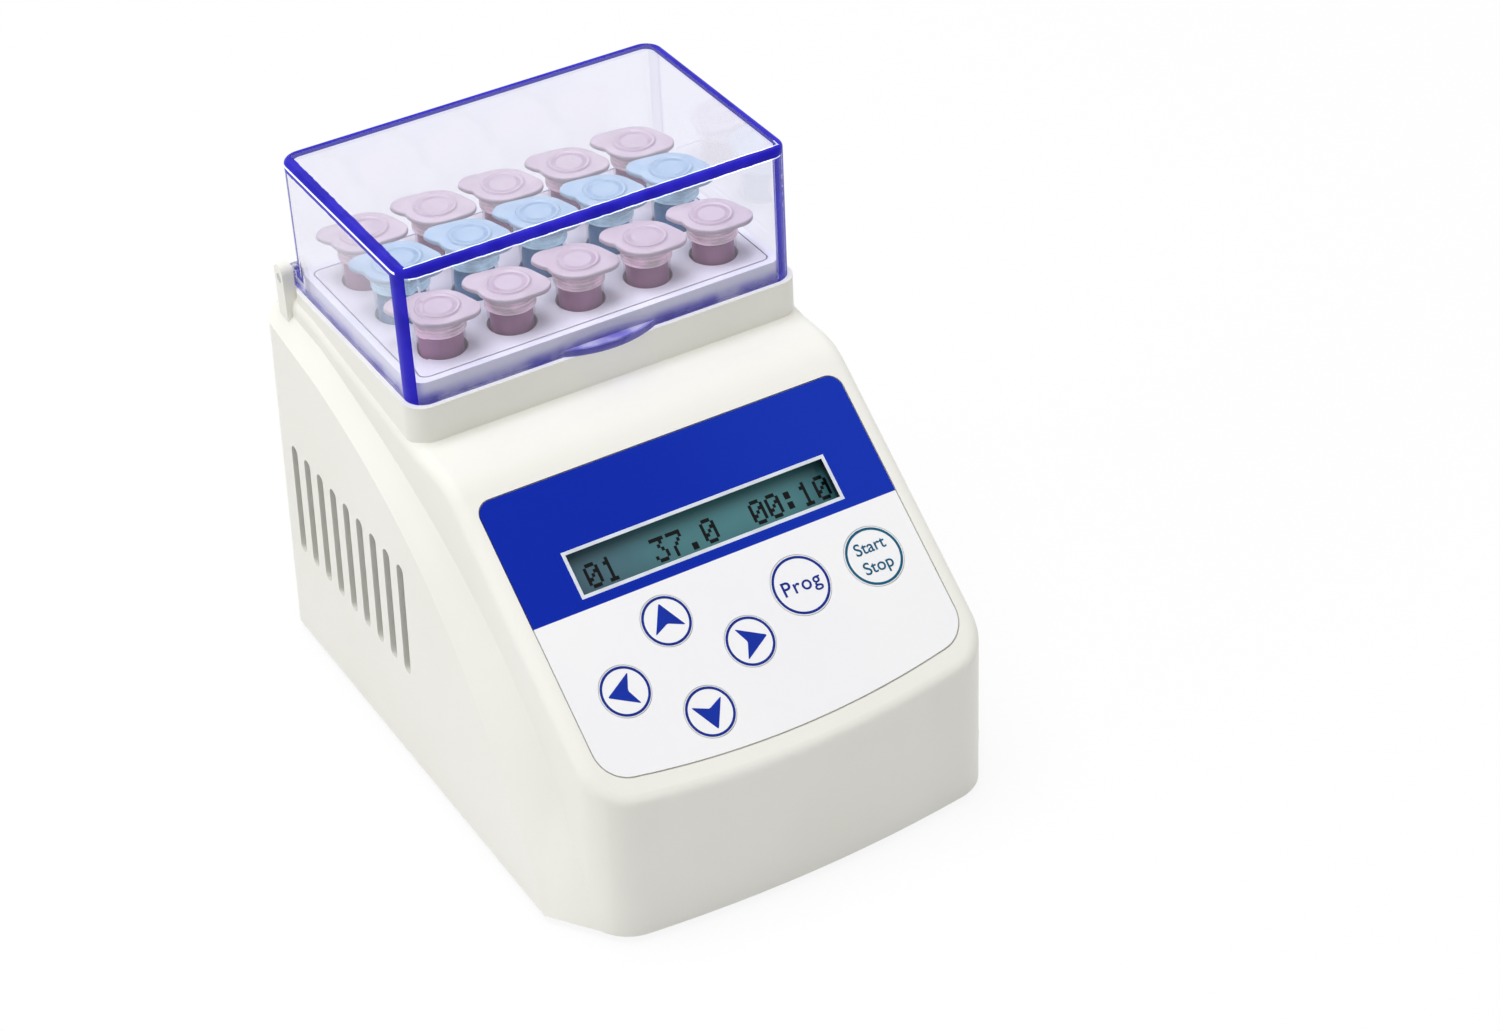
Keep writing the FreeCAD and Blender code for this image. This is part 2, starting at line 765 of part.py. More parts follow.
def back_wall_holes():
    width, tall = "switch_body_width + 2 * cutout_fit", "switch_body_tall + 2 * cutout_fit"
    foot = f"rocker_z - ({tall}) / 2"
    switch = centred("switch_hole", width, "6 * wall", tall, "rocker_x", BACK, foot)
    inlet = rod("inlet_hole", "inlet_radius + cutout_fit", "6 * wall")
    turn(inlet, Vector(1, 0, 0), 90)
    place(inlet, "inlet_x", f"{BACK} + 3 * wall", "inlet_z")
    return [switch, inlet]


def boss_places():
    """Where the four screw bosses stand."""
    rear_x, rear_y = "(flank_width / 2 - boss_rear_side)", f"{BACK} - boss_rear_inset"
    front_x, front_y = "(nose_width / 2 - boss_front_side)", f"{FRONT} + boss_front_inset"
    pairs = ((rear_x, rear_y), (front_x, front_y))
    return [(side + x, y) for x, y in pairs for side in ("", "-")]


def upper_housing():
    outer = case_form("case", "0", "foot_proud")
    cavity = case_form("cavity", "wall", "foot_proud - wall")
    shell = cut("case_shell", fused("case_outer", [outer, *collar_and_lugs()]), [cavity])
    bosses = []
    for index, (x, y) in enumerate(boss_places()):
        boss = rod(f"boss_{index}", "boss_radius", "boss_height")
        bosses.append(place(boss, x, y, BASE_TOP))
    tools = panel_holes("case_hole", "stem_radius + 2 * key_gap", "4 * wall", "0")
    tools.append(overlay_form("panel_recess", "overlay_gap", "2 * wall", "overlay_film"))
    tools.append(vent_slots())
    tools += back_wall_holes()
    rebate_size = ("bezel_width + 2 * bezel_gap", "bezel_depth + 2 * bezel_gap", "2 * bezel_sink")
    rebate_corner = "bezel_corner + bezel_gap"
    rebate_foot = f"{SEAT} - bezel_sink"
    rebate = rounded_slab("bezel_rebate", "0", BLOCK_Y, rebate_foot, *rebate_size, rebate_corner)
    well_size = ("well_width", "well_depth", "block_height")
    well = centred("block_well", *well_size, "0", BLOCK_Y, f"{BLOCK_FOOT}")
    bore = rod("hinge_bore", "pin_radius + pin_fit", "2 * flank_width")
    turn(bore, Vector(0, 1, 0), 90)
    place(bore, "-flank_width", HINGE_Y, HINGE_Z)
    tools += [rebate, well, bore]
    for index, (x, y) in enumerate(boss_places()):
        pilot = rod(f"pilot_{index}", "screw_radius - screw_fit", "boss_height - wall")
        tools.append(place(pilot, x, y, f"{BASE_TOP} - screw_fit"))
    whole = fused("case_with_bosses", [shell, *bosses])
    return keep("upper_housing", cut("upper_housing", whole, tools))


# Base


def base_plate():
    form = case_form("base_form", "wall + base_fit", "foot_proud - wall")
    size = ("2 * flank_width", "2 * case_depth", "base_thick")
    slab = centred("base_slab", *size, z="foot_proud + base_recess")
    plate = common("base_sheet", form, slab)
    holes = []
    for index, (x, y) in enumerate(boss_places()):
        hole = rod(f"base_hole_{index}", "screw_radius + screw_fit", "4 * base_thick")
        holes.append(place(hole, x, y, "foot_proud - base_thick"))
        depth = "screw_head_height + base_recess"
        sink = rod(f"base_sink_{index}", "screw_head + screw_fit", depth)
        holes.append(place(sink, x, y, "foot_proud"))
    keep("base_plate", cut("base_plate", plate, holes))


def base_screws():
    screws = []
    for index, (x, y) in enumerate(boss_places()):
        head = rod(f"screw_head_{index}", "screw_head", "screw_head_height")
        shank = rod(f"screw_shank_{index}", "screw_radius - 2 * screw_fit", "screw_length")
        for item in (head, shank):
            place(item, x, y, "foot_proud + base_recess")
        screws.append(fused(f"screw_{index}", [head, shank]))
    keep("base_screws", group("base_screws", screws))


def rubber_feet():
    feet = []
    rear = ("(nose_width / 2 - foot_rear_side)", f"{BACK} - foot_rear_inset")
    front = ("(nose_width / 2 - foot_front_side)", f"{FRONT} + foot_front_inset")
    for x, y in (rear, front):
        for side in ("", "-"):
            name = f"foot_{len(feet)}"
            height = "foot_proud + base_recess"
            foot = cone(name, "foot_radius - foot_taper", "foot_radius", height)
            feet.append(place(foot, side + x, y))
    keep("rubber_feet", group("rubber_feet", feet))


# Block, bezel and what lies below them


def block_bezel():
    foot = f"{SEAT} - bezel_sink"
    size = ("bezel_width", "bezel_depth", "bezel_sink + bezel_rise")
    whole = rounded_slab("bezel_body", "0", BLOCK_Y, foot, *size, "bezel_corner")
    opening_size = ("well_width", "well_depth", "3 * bezel_sink + bezel_rise")
    opening_corner = "block_corner + block_gap"
    opening_foot = f"{SEAT} - 2 * bezel_sink"
    opening = rounded_slab(
        "bezel_opening", "0", BLOCK_Y, opening_foot, *opening_size, opening_corner
    )
    keep("block_bezel", cut("block_bezel", whole, [opening]))


def bore_place(column, row):
    return f"{column} * pitch", f"{BLOCK_Y} + {row} * pitch"


def heating_block():
    size = ("block_width", "block_depth", "block_height")
    whole = rounded_slab("block_body", "0", BLOCK_Y, BLOCK_FOOT, *size, "block_corner")
    tools = []
    for row in ROWS:
        for column in COLUMNS:
            x, y = bore_place(column, row)
            name = f"bore_{row + 2}_{column + 3}"
            straight = rod(name + "_straight", "bore_radius", "2 * bore_straight")
            tip = cone(name + "_tip", "bore_tip", "bore_radius", "bore_depth - bore_straight")
            place(straight, x, y, f"{BLOCK_TOP} - bore_straight")
            place(tip, x, y, f"{BLOCK_TOP} - bore_depth")
            tools.append(fused(name, [straight, tip]))
    depth = "probe_depth + probe_fit"
    tools.append(probe_rod("probe_hole", "probe_radius + probe_fit", depth, "probe_length"))
    keep("heating_block", cut("heating_block", whole, tools))


def probe_rod(name, radius, inside, outside):
    """A rod along Y in the block's rear face, between two columns of bores."""
    item = rod(name, radius, f"{inside} + {outside}")
    turn(item, Vector(1, 0, 0), 90)
    rear = f"{BLOCK_Y} + block_depth / 2"
    return place(item, "pitch / 2", f"{rear} + {outside}", f"{BLOCK_FOOT} + probe_up")


def heater_stack():
    """From the block down: heater mat, lower pad, steel tray, and a jacket round it."""
    block_size = ("block_width", "block_depth")
    mat_foot = f"{BLOCK_FOOT} - heater_height"
    mat = centred("heater_mat", *block_size, "heater_height", "0", BLOCK_Y, mat_foot)
    keep("heater_mat", mat)
    lower = centred("lower_pad", *block_size, "pad_height", "0", BLOCK_Y, TRAY_TOP)
    keep("lower_pad", lower)
    jacket_size = ("jacket_width", "jacket_depth", "jacket_height")
    outer = centred("jacket_outer", *jacket_size, "0", BLOCK_Y, TRAY_TOP)
    hollow_size = ("block_width + 2 * jacket_gap", "block_depth + 2 * jacket_gap")
    hollow_foot = f"{TRAY_TOP} - tray_height"
    hollow = centred("jacket_hollow", *hollow_size, "2 * jacket_height", "0", BLOCK_Y, hollow_foot)
    exit_hole = probe_rod("jacket_exit", "probe_radius + probe_fit", "0", "2 * jacket_wall")
    keep("insulation_jacket", cut("insulation_jacket", outer, [hollow, exit_hole]))
    tray_size = ("jacket_width + 2 * tray_margin", "jacket_depth + 2 * tray_margin", "tray_height")
    tray_foot = f"{TRAY_TOP} - tray_height"
    keep("block_tray", centred("block_tray", *tray_size, "0", BLOCK_Y, tray_foot))


def block_pillars():
    pillars = []
    height = f"{TRAY_TOP} - tray_height - {BASE_TOP}"
    for x in ("pillar_x", "-pillar_x"):
        for y in (f"{BLOCK_Y} - pillar_y", f"{BLOCK_Y} + pillar_y"):
            pillar = rod(f"pillar_{len(pillars)}", "pillar_radius", height)
            pillars.append(place(pillar, x, y, BASE_TOP))
    keep("block_pillars", group("block_pillars", pillars))


def thermal_parts():
    outside = "probe_length - probe_depth"
    probe = probe_rod("temperature_probe", "probe_radius", "probe_depth", outside)
    keep("temperature_probe", probe)
    top = f"{TRAY_TOP} - tray_height"
    disc = rod("cutout_disc", "cutout_radius", "cutout_height")
    place(disc, "0", BLOCK_Y, f"{top} - cutout_height")
    # the tags stand out below the disc
    foot = f"{top} - cutout_height - tag_thick"
    tags = centred("cutout_tags", "tag_width", "tag_depth", "2 * tag_thick", "0", BLOCK_Y, foot)
    keep("thermal_cutout", fused("thermal_cutout", [disc, tags]))


# Sample tubes


def sample_tube(label, column, row, stand):
    """One moulding: a tapered tube, its snap cap, the finger tab and the hinge strap."""
    body = new_body(label)
    wall_radius = "(bore_radius - tube_gap)"
    foot = "-(bore_depth - tube_gap)"
    rim_top = f"({stand} + rim_height)"
    cap_foot = f"({rim_top} + cap_bevel)"
    cap_top = f"({rim_top} + cap_height)"
    profile = [
        ("0", foot),
        ("tube_tip", foot),
        (wall_radius, "-bore_straight"),
        (wall_radius, stand),
        ("rim_radius", stand),
        ("rim_radius", rim_top),
        (wall_radius, rim_top),
        (wall_radius, cap_foot),
        ("cap_radius", cap_foot),
        ("cap_radius", f"{cap_top} - cap_bevel"),
        ("cap_radius - cap_bevel", cap_top),
        ("cap_ring", cap_top),
        ("cap_ring", f"{cap_top} + cap_ring_height"),
        ("0", f"{cap_top} + cap_ring_height"),
    ]
    turned = body.newObject("PartDesign::Revolution", label + "_turned")
    turned.Profile = loop(body, label + "_profile", "XZ_Plane", profile)
    turned.ReferenceAxis = (turned.Profile[0], ["V_Axis"])
    turned.Angle = 360
    tongue_foot = f"({cap_top} - strap_height)"
    tongue(body, label + "_tab", -1, "tab_reach", "tab_width", tongue_foot)
    tongue(body, label + "_strap", 1, "strap_reach", "strap_width", tongue_foot)
    x, y = bore_place(column, row)
    turn(body, Vector(0, 0, -1), number("cap_turn"))
    bind(body, "Placement.Rotation.Angle", "cap_turn")
    place(body, x, y, BLOCK_TOP)
    return keep(label, body)


def tongue(body, name, side, reach, width, foot):
    """A tongue that narrows as it stands out from the cap along X."""
    root, tip = f"{side} * tongue_root", f"{side} * {reach}"
    corners = [
        (root, "-tongue_width / 2"),
        (tip, f"-{width} / 2"),
        (tip, f"{width} / 2"),
        (root, "tongue_width / 2"),
    ]
    if side < 0:
        corners.reverse()
    outline = loop(body, name + "_outline", "XY_Plane", corners, foot)
    plate = pad(body, name, outline, "strap_height")
    end = number(reach) - NEAR

    def at_end(edge):
        return upright(edge) and abs(edge.CenterOfMass.x) > end

    return rounded(body, name + "_round", plate, at_end, f"{width} / 4")


def sample_tubes():
    for row, word in zip(ROWS, ("front", "middle", "rear")):
        for column in COLUMNS:
            sample_tube(f"tube_{word}_{column + 3}", column, row, f"{word}_stand")


# Lid


def lid():
    body = new_body("lid")
    foot = f"{SEAT} + lid_gap"
    outer = rectangle("0", BLOCK_Y, "lid_width", "lid_depth")
    plan = loop(body, "lid_plan", "XY_Plane", outer, foot)
    shell = pad(body, "lid_block", plan, "lid_height")
    corners = rounded(body, "lid_corners", shell, upright, "lid_corner")
    top = number(f"{foot} + lid_height")

    def top_edge(edge):
        return edge.BoundBox.ZMin > top - NEAR

    rounded(body, "lid_edges", corners, top_edge, "lid_edge")
    inner = rectangle("0", BLOCK_Y, "lid_width - 2 * lid_wall", "lid_depth - 2 * lid_wall")
    inside = loop(body, "lid_inside", "XY_Plane", inner, foot)
    hollow = pocket(body, "lid_hollow", inside, "lid_height - lid_wall", backwards=True)
    half_x, half_y = number("lid_width / 2 - lid_wall"), number("lid_depth / 2 - lid_wall")
    middle = number(BLOCK_Y)

    def inside_corner(edge):
        point = edge.CenterOfMass
        at_x = abs(abs(point.x) - half_x) < NEAR
        return upright(edge) and at_x and abs(abs(point.y - middle) - half_y) < NEAR

    rounded(body, "lid_inside_corners", hollow, inside_corner, "lid_corner - lid_wall")
    lip_radius = "((lip_width ^ 2 / 4 + lip_reach ^ 2) / (2 * lip_reach))"
    overlap = "lid_wall / 2"
    lip = [
        ("-lip_width / 2", LID_FRONT, lip_radius),
        ("lip_width / 2", LID_FRONT),
        ("lip_width / 2", f"{LID_FRONT} + {overlap}"),
        ("-lip_width / 2", f"{LID_FRONT} + {overlap}"),
    ]
    pad(body, "finger_lip", loop(body, "finger_lip_outline", "XY_Plane", lip, foot), "lip_height")
    for side, word in ((1, "right"), (-1, "left")):
        at = f"{side} * (lid_width / 2 - lid_wall / 2)"
        root = f"{LID_BACK} - lid_corner"
        low, high = f"{HINGE_Z} - ear_radius", f"{HINGE_Z} + ear_radius"
        ear = [(root, low), (HINGE_Y, low, "ear_radius"), (HINGE_Y, high), (root, high)]
        outline = loop(body, f"ear_{word}_outline", "YZ_Plane", ear, at)
        pad(body, f"ear_{word}", outline, "lid_wall", both=True)
    bore = ring(body, "lid_bore_outline", "YZ_Plane", HINGE_Y, HINGE_Z, "pin_radius + hinge_fit")
    pocket(body, "lid_bore", bore, "2 * lid_width", both=True)
    # between the ears the rear wall ends above the bezel that it swings past
    middle = f"{LID_BACK} + (lid_wall - lid_corner) / 2"
    slot = rectangle("0", middle, "lid_width - 2 * lid_wall", "lid_wall + lid_corner")
    outline = loop(body, "hinge_relief_outline", "XY_Plane", slot, foot)
    body.Tip = pocket(body, "hinge_relief", outline, "ear_radius - lid_gap", backwards=True)
    keep("lid", body)


def hinge_pins():
    pins = []
    length = "(lid_wall + lug_gap + lug_width)"
    inner = "(lid_width / 2 - lid_wall)"
    for start in (inner, f"-{inner} - {length}"):
        pin = turn(rod(f"pin_{len(pins)}", "pin_radius", length), Vector(0, 1, 0), 90)
        pins.append(place(pin, start, HINGE_Y, HINGE_Z))
    keep("hinge_pins", group("hinge_pins", pins))


# Panel


def panel_overlay():
    film = overlay_form("overlay_sheet", "0", "overlay_film", "overlay_film")
    tools = panel_holes("overlay_hole", "{radius} + key_gap", "2 * overlay_film", "0")
    keep("panel_overlay", cut("panel_overlay", film, tools))


def keys():
    """Each key is a film disc flush with the overlay, on a stem over its switch."""
    plunger_top = "control_depth - switch_height - plunger_height"
    for label, (u, v, radius) in KEYS.items():
        disc = on_panel(rod(label + "_disc", radius, "key_film"), u, v, "-key_film")
        length = f"({plunger_top} - key_travel - stem_clear)"
        stem = on_panel(rod(label + "_stem", "stem_radius", length), u, v, f"-{length}")
        keep(label, fused(label, [disc, stem]))


def window_block(name, width, height, depth, w):
    """A block centred on the display's window, with its lower face at w."""
    item = block(name, width, height, depth)
    return on_panel(item, f"-({width}) / 2", f"-window_down - ({height}) / 2", w)


def display():
    """Behind the window: a frame with its glass, a board, and four spacers below it."""
    frame_foot = "-wall - display_depth"
    frame_size = ("display_width", "display_height", "display_depth")
    frame = window_block("display_shell", *frame_size, frame_foot)
    glass_foot = "-wall - glass_sink - glass_thick"
    seat_size = ("window_width + 2 * wall", "window_height + 2 * wall", "2 * glass_thick")
    seat = window_block("display_seat", *seat_size, glass_foot)
    keep("display_frame", cut("display_frame", frame, [seat]))
    rim = "2 * wall - 2 * base_fit"
    glass_size = (f"window_width + {rim}", f"window_height + {rim}", "glass_thick")
    keep("display_glass", window_block("display_glass", *glass_size, glass_foot))
    board_size = ("display_board_width", "display_board_height", "board_thick")
    board_foot = f"{frame_foot} - board_thick"
    keep("display_board", window_block("display_board", *board_size, board_foot))
    spacers = []
    length = "(control_depth - wall - display_depth - board_thick)"
    for side in ("-", ""):
        for way in ("-", "+"):
            spacer = rod(f"spacer_{len(spacers)}", "spacer_radius", length)
            u = f"{side}(display_board_width / 2 - post_inset)"
            v = f"-window_down {way} (display_board_height / 2 - post_inset)"
            spacers.append(on_panel(spacer, u, v, "-control_depth"))
    keep("display_spacers", group("display_spacers", spacers))


def control_board():
    foot = "-control_down - control_height"
    board = block("control_board", "control_width", "control_height", "board_thick")
    board_w = "-control_depth - board_thick"
    keep("control_board", on_panel(board, "-control_width / 2", foot, board_w))
    posts, screws = [], []
    length = "(control_depth - wall)"
    for side in ("-", ""):
        for v in ("-control_down - post_inset", f"{foot} + post_inset"):
            u = f"{side}(control_width / 2 - post_inset)"
            post = rod(f"post_{len(posts)}", "post_radius", length)
            posts.append(on_panel(post, u, v, "-control_depth"))
            head = rod(f"board_screw_{len(screws)}", "post_radius", "board_thick")
            screws.append(on_panel(head, u, v, f"{board_w} - board_thick"))
    keep("board_posts", group("board_posts", posts))
    keep("board_screws", group("board_screws", screws))


def key_switches():
    switches = []
    for key, (u, v, _) in KEYS.items():
        base = block(key + "_switch_base", "switch_base", "switch_base", "switch_height")
        on_panel(base, f"{u} - switch_base / 2", f"{v} - switch_base / 2", "-control_depth")
        plunger = rod(key + "_plunger", "plunger_radius", "switch_height + plunger_height")
        on_panel(plunger, u, v, "-control_depth")
        switches.append(fused(key + "_switch", [base, plunger]))
    keep("key_switches", group("key_switches", switches))


def board_parts():
    """Below the control board: the controller chip and a buzzer."""
    chip = block("controller_chip", "chip_width", "chip_width", "board_thick")
    chip_v = "-window_down - chip_width / 2"
    chip_w = "-control_depth - 2 * board_thick"
    keep("controller_chip", on_panel(chip, "-chip_width / 2", chip_v, chip_w))
    buzzer = rod("buzzer", "buzzer_radius", "buzzer_height")
    buzzer_w = "-control_depth - board_thick - buzzer_height"
    keep("buzzer", on_panel(buzzer, "buzzer_u", "-window_down", buzzer_w))


# Power


def power_board():
    foot = f"{BASE_TOP} + standoff_height"
    top = f"{foot} + board_thick"
    middle = f"({BACK} - power_board_back)"
    size = ("power_board_width", "power_board_depth", "board_thick")
    keep("power_board", centred("power_board", *size, "0", middle, foot))
    standoffs = []
    for side in ("-", ""):
        for way in ("-", "+"):
            standoff = rod(f"standoff_{len(standoffs)}", "post_radius", "standoff_height")
            x = f"{side}(power_board_width / 2 - post_inset)"
            y = f"{middle} {way} (power_board_depth / 2 - post_inset)"
            standoffs.append(place(standoff, x, y, BASE_TOP))
    keep("power_standoffs", group("power_standoffs", standoffs))
    quarter = "power_board_width / 4"
    sink = centred("heat_sink", "sink_width", "sink_depth", "sink_height", quarter, middle, top)
    keep("heat_sink", sink)
    can = place(rod("capacitor", "buzzer_radius", "can_height"), f"-{quarter}", middle, top)
    keep("capacitor", can)
    plug_size = ("sink_width", "switch_base", "terminal_height")
    plug_y = f"{middle} + power_board_depth / 2 - switch_base"
    keep("wire_terminals", centred("wire_terminals", *plug_size, "0", plug_y, top))


def power_switch():
    """A rocker in a flanged frame that clips into the back wall."""
    flange_size = ("switch_width", "switch_flange", "switch_tall")
    flange_place = ("rocker_x", f"{BACK} + switch_flange / 2", "rocker_z - switch_tall / 2")
    outside = centred("switch_flange_plate", *flange_size, *flange_place)
    depth = "(switch_body_depth + switch_flange)"
    middle = f"{BACK} + switch_flange - {depth} / 2"
    case_size = ("switch_body_width", depth, "switch_body_tall")
    case_foot = "rocker_z - switch_body_tall / 2"
    inside = centred("switch_case", *case_size, "rocker_x", middle, case_foot)
    room_size = ("room_width", depth, "room_tall")
    room_y = f"{middle} + switch_body_depth / 2"
    room = centred("switch_room", *room_size, "rocker_x", room_y, "rocker_z - room_tall / 2")
    bore_length = "2 * switch_body_width"
    bore = turn(rod("pivot_bore", "pivot_radius + pivot_fit", bore_length), Vector(0, 1, 0), 90)
    place(bore, f"rocker_x - {bore_length} / 2", PIVOT_Y, "rocker_z")
    body = fused("switch_body", [outside, inside])
    keep("switch_frame", cut("switch_frame", body, [room, bore]))
    rocker_part("(room_tall / 2 - rocker_gap)", "(room_width - 2 * rocker_gap)")


def rocker_part(half, width):
    """A shallow vee of two faces on two pivots, its lower half pressed in at rest."""
    body = new_body("rocker_body")
    tip = f"({BACK} + rocker_proud)"
    low_in = f"({BACK} + switch_flange / 4)"
    root = f"({PIVOT_Y} - switch_flange)"
    reach = f"({half} * cos(rocker_tilt))"
    corners = [
        (root, f"rocker_z - {reach} + switch_wall"),
        (low_in, f"rocker_z - {reach}"),
        (f"{BACK} + switch_flange / 2", "rocker_z"),
        (tip, f"rocker_z + {reach} - switch_wall"),
        (root, f"rocker_z + {reach}"),
    ]
    outline = loop(body, "rocker_outline", "YZ_Plane", corners, "rocker_x")
    pad(body, "rocker_wedge", outline, width, both=True)
    axis = ring(body, "rocker_axis", "YZ_Plane", PIVOT_Y, "rocker_z", "pivot_radius", "rocker_x")
    pad(body, "rocker_pivots", axis, "room_width + 2 * pivot_reach", both=True)
    keep("rocker", body)


def power_inlet():
    """A round low-voltage socket with its centre pin; its lead is not part of it."""
    flange = rod("inlet_flange_disc", "inlet_flange", "inlet_flange_height")
    barrel = rod("inlet_barrel", "inlet_radius", "inlet_depth")
    mouth = rod("inlet_mouth", "inlet_bore", "inlet_bore_depth")
    pin = rod("inlet_centre", "inlet_pin", "inlet_bore_depth")
    for item in (flange, barrel, mouth, pin):
        turn(item, Vector(1, 0, 0), 90)
    outer = f"{BACK} + inlet_flange_height"
    place(flange, "inlet_x", outer, "inlet_z")
    place(barrel, "inlet_x", f"{BACK} + base_recess", "inlet_z")
    place(mouth, "inlet_x", f"{outer} + base_recess", "inlet_z")
    place(pin, "inlet_x", f"{outer} - base_recess", "inlet_z")
    bored = cut("inlet_bored", fused("inlet_solid", [flange, barrel]), [mouth])
    keep("power_inlet", fused("power_inlet", [bored, pin]))


def check_and_write():
    doc.recompute()
    failed = [item.Label for item in doc.Objects if {"Invalid", "Error"} & set(item.State)]
    if failed:
        raise RuntimeError(f"failed: {failed}")
    for label, item in nodes.items():
        if item.Shape.isNull() or not item.Shape.isValid():
            raise RuntimeError(f"{label} has no valid shape")
    os.makedirs("parts", exist_ok=True)
    for label, item in nodes.items():
        item.Shape.exportStep(os.path.join("parts", label + ".step"))
    print(len(nodes), "sub-parts written")


def main():
    upper_housing()
    base_plate()
    base_screws()
    rubber_feet()
    block_bezel()
    heating_block()
    heater_stack()
    block_pillars()
    thermal_parts()
    sample_tubes()
    lid()
    hinge_pins()
    panel_overlay()
    keys()
    display()
    control_board()
    key_switches()
    board_parts()
    power_board()
    power_switch()
    power_inlet()
    check_and_write()


main()
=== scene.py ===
import json
import math

import bpy
from mathutils import Matrix, Vector

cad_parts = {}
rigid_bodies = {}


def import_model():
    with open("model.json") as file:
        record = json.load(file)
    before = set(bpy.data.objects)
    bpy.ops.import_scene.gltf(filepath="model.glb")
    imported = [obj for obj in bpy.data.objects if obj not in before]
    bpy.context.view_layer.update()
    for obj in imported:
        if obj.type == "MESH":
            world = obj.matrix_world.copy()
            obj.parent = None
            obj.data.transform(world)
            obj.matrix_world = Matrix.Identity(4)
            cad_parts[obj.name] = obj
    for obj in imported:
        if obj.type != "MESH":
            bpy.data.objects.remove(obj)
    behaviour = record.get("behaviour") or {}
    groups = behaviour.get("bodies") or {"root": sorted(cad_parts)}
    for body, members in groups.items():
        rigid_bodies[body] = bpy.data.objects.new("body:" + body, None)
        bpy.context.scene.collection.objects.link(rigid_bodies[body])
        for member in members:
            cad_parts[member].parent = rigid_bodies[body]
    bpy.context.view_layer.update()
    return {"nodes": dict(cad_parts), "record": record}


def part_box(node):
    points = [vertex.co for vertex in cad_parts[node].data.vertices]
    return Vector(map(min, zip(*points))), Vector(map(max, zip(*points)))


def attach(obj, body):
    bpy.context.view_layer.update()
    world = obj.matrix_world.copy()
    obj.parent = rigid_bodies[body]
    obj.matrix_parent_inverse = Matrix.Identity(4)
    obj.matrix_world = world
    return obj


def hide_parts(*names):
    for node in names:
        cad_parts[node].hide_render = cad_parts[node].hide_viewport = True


for spare in list(bpy.data.objects):
    bpy.data.objects.remove(spare)
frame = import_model()
mm = 0.001
grainDepth = 0.02 * mm
coatRoughness = 0.2
clouds = {"detail": 3.0, "from": 0.3, "to": 0.7}
print("frame loaded:", len(frame["nodes"]), "nodes")


# Colours and node helpers


def screen(red, green, blue):
    # a colour as it looks on a screen, 0 to 255, as scene values
    parts = [value / 255 for value in (red, green, blue)]
    return tuple(((part + 0.055) / 1.055) ** 2.4 for part in parts) + (1.0,)


def feed(tree, value, socket):
    if isinstance(value, bpy.types.NodeSocket):
        tree.links.new(value, socket)
    else:
        socket.default_value = value


def maths(tree, operation, *values):
    node = tree.nodes.new("ShaderNodeMath")
    node.operation = operation
    for value, socket in zip(values, node.inputs):
        feed(tree, value, socket)
    return node.outputs[0]


def mixColour(tree, factor, first, second):
    node = tree.nodes.new("ShaderNodeMix")
    node.data_type = "RGBA"
    for value, index in ((factor, 0), (first, 6), (second, 7)):
        feed(tree, value, node.inputs[index])
    return node.outputs[2]


def mixShader(tree, factor, first, second):
    node = tree.nodes.new("ShaderNodeMixShader")
    for value, socket in zip((factor, first, second), node.inputs):
        feed(tree, value, socket)
    return node.outputs[0]


def ramp(tree, value, start, end, low=0.0, high=1.0):
    # low before start, high after end, and a smooth step between them
    node = tree.nodes.new("ShaderNodeMapRange")
    node.interpolation_type = "SMOOTHSTEP"
    for number, socket in zip((value, start, end, low, high), node.inputs):
        feed(tree, number, socket)
    return node.outputs[0]


def objectPoint(tree, place=None, turn=(0, 0, 0), stretch=(1, 1, 1)):
    # the surface point, seen from a place, turned and stretched
    point = tree.nodes.new("ShaderNodeTexCoord").outputs["Object"]
    if place is None and stretch == (1, 1, 1):
        return point
    node = tree.nodes.new("ShaderNodeMapping")
    node.vector_type = "TEXTURE"
    for value, name in ((place or (0, 0, 0), "Location"), (turn, "Rotation"), (stretch, "Scale")):
        node.inputs[name].default_value = value
    tree.links.new(point, node.inputs["Vector"])
    return node.outputs[0]


def apart(tree, point):
    node = tree.nodes.new("ShaderNodeSeparateXYZ")
    tree.links.new(point, node.inputs[0])
    return node.outputs


def noise(tree, point, scale, detail=2.0):
    node = tree.nodes.new("ShaderNodeTexNoise")
    tree.links.new(point, node.inputs["Vector"])
    feed(tree, scale, node.inputs["Scale"])
    node.inputs["Detail"].default_value = detail
    return node.outputs[0]


def newGroup(name, inputs, outputs):
    group = bpy.data.node_groups.new(name, "ShaderNodeTree")
    kinds = {"Colour": "NodeSocketColor", "Shade": "NodeSocketColor", "Point": "NodeSocketVector"}
    for word in inputs:
        kind = kinds.get(word, "NodeSocketFloat")
        group.interface.new_socket(name=word, in_out="INPUT", socket_type=kind)
    for word in outputs:
        kind = kinds.get(word, "NodeSocketFloat")
        group.interface.new_socket(name=word, in_out="OUTPUT", socket_type=kind)
    given = group.nodes.new("NodeGroupInput").outputs
    result = group.nodes.new("NodeGroupOutput").inputs
    return group, given, result


def buildSurface():
    # clouded colour, uneven gloss and fine grain; each material gives its own amounts
    inputs = ("Point", "Colour", "Shade", "Cloud", "Grain", "Gloss", "Spread")
    group, given, result = newGroup("unevenSurface", inputs, ("Colour", "Roughness", "Height"))
    cloud = noise(group, given["Point"], given["Cloud"], clouds["detail"])
    cloud = ramp(group, cloud, clouds["from"], clouds["to"])
    grain = noise(group, given["Point"], given["Grain"])
    feed(group, mixColour(group, cloud, given["Colour"], given["Shade"]), result["Colour"])
    swing = maths(group, "MULTIPLY", maths(group, "SUBTRACT", grain, 0.5), given["Spread"])
    feed(group, maths(group, "ADD", given["Gloss"], swing), result["Roughness"])
    feed(group, grain, result["Height"])
    return group


unevenSurface = buildSurface()


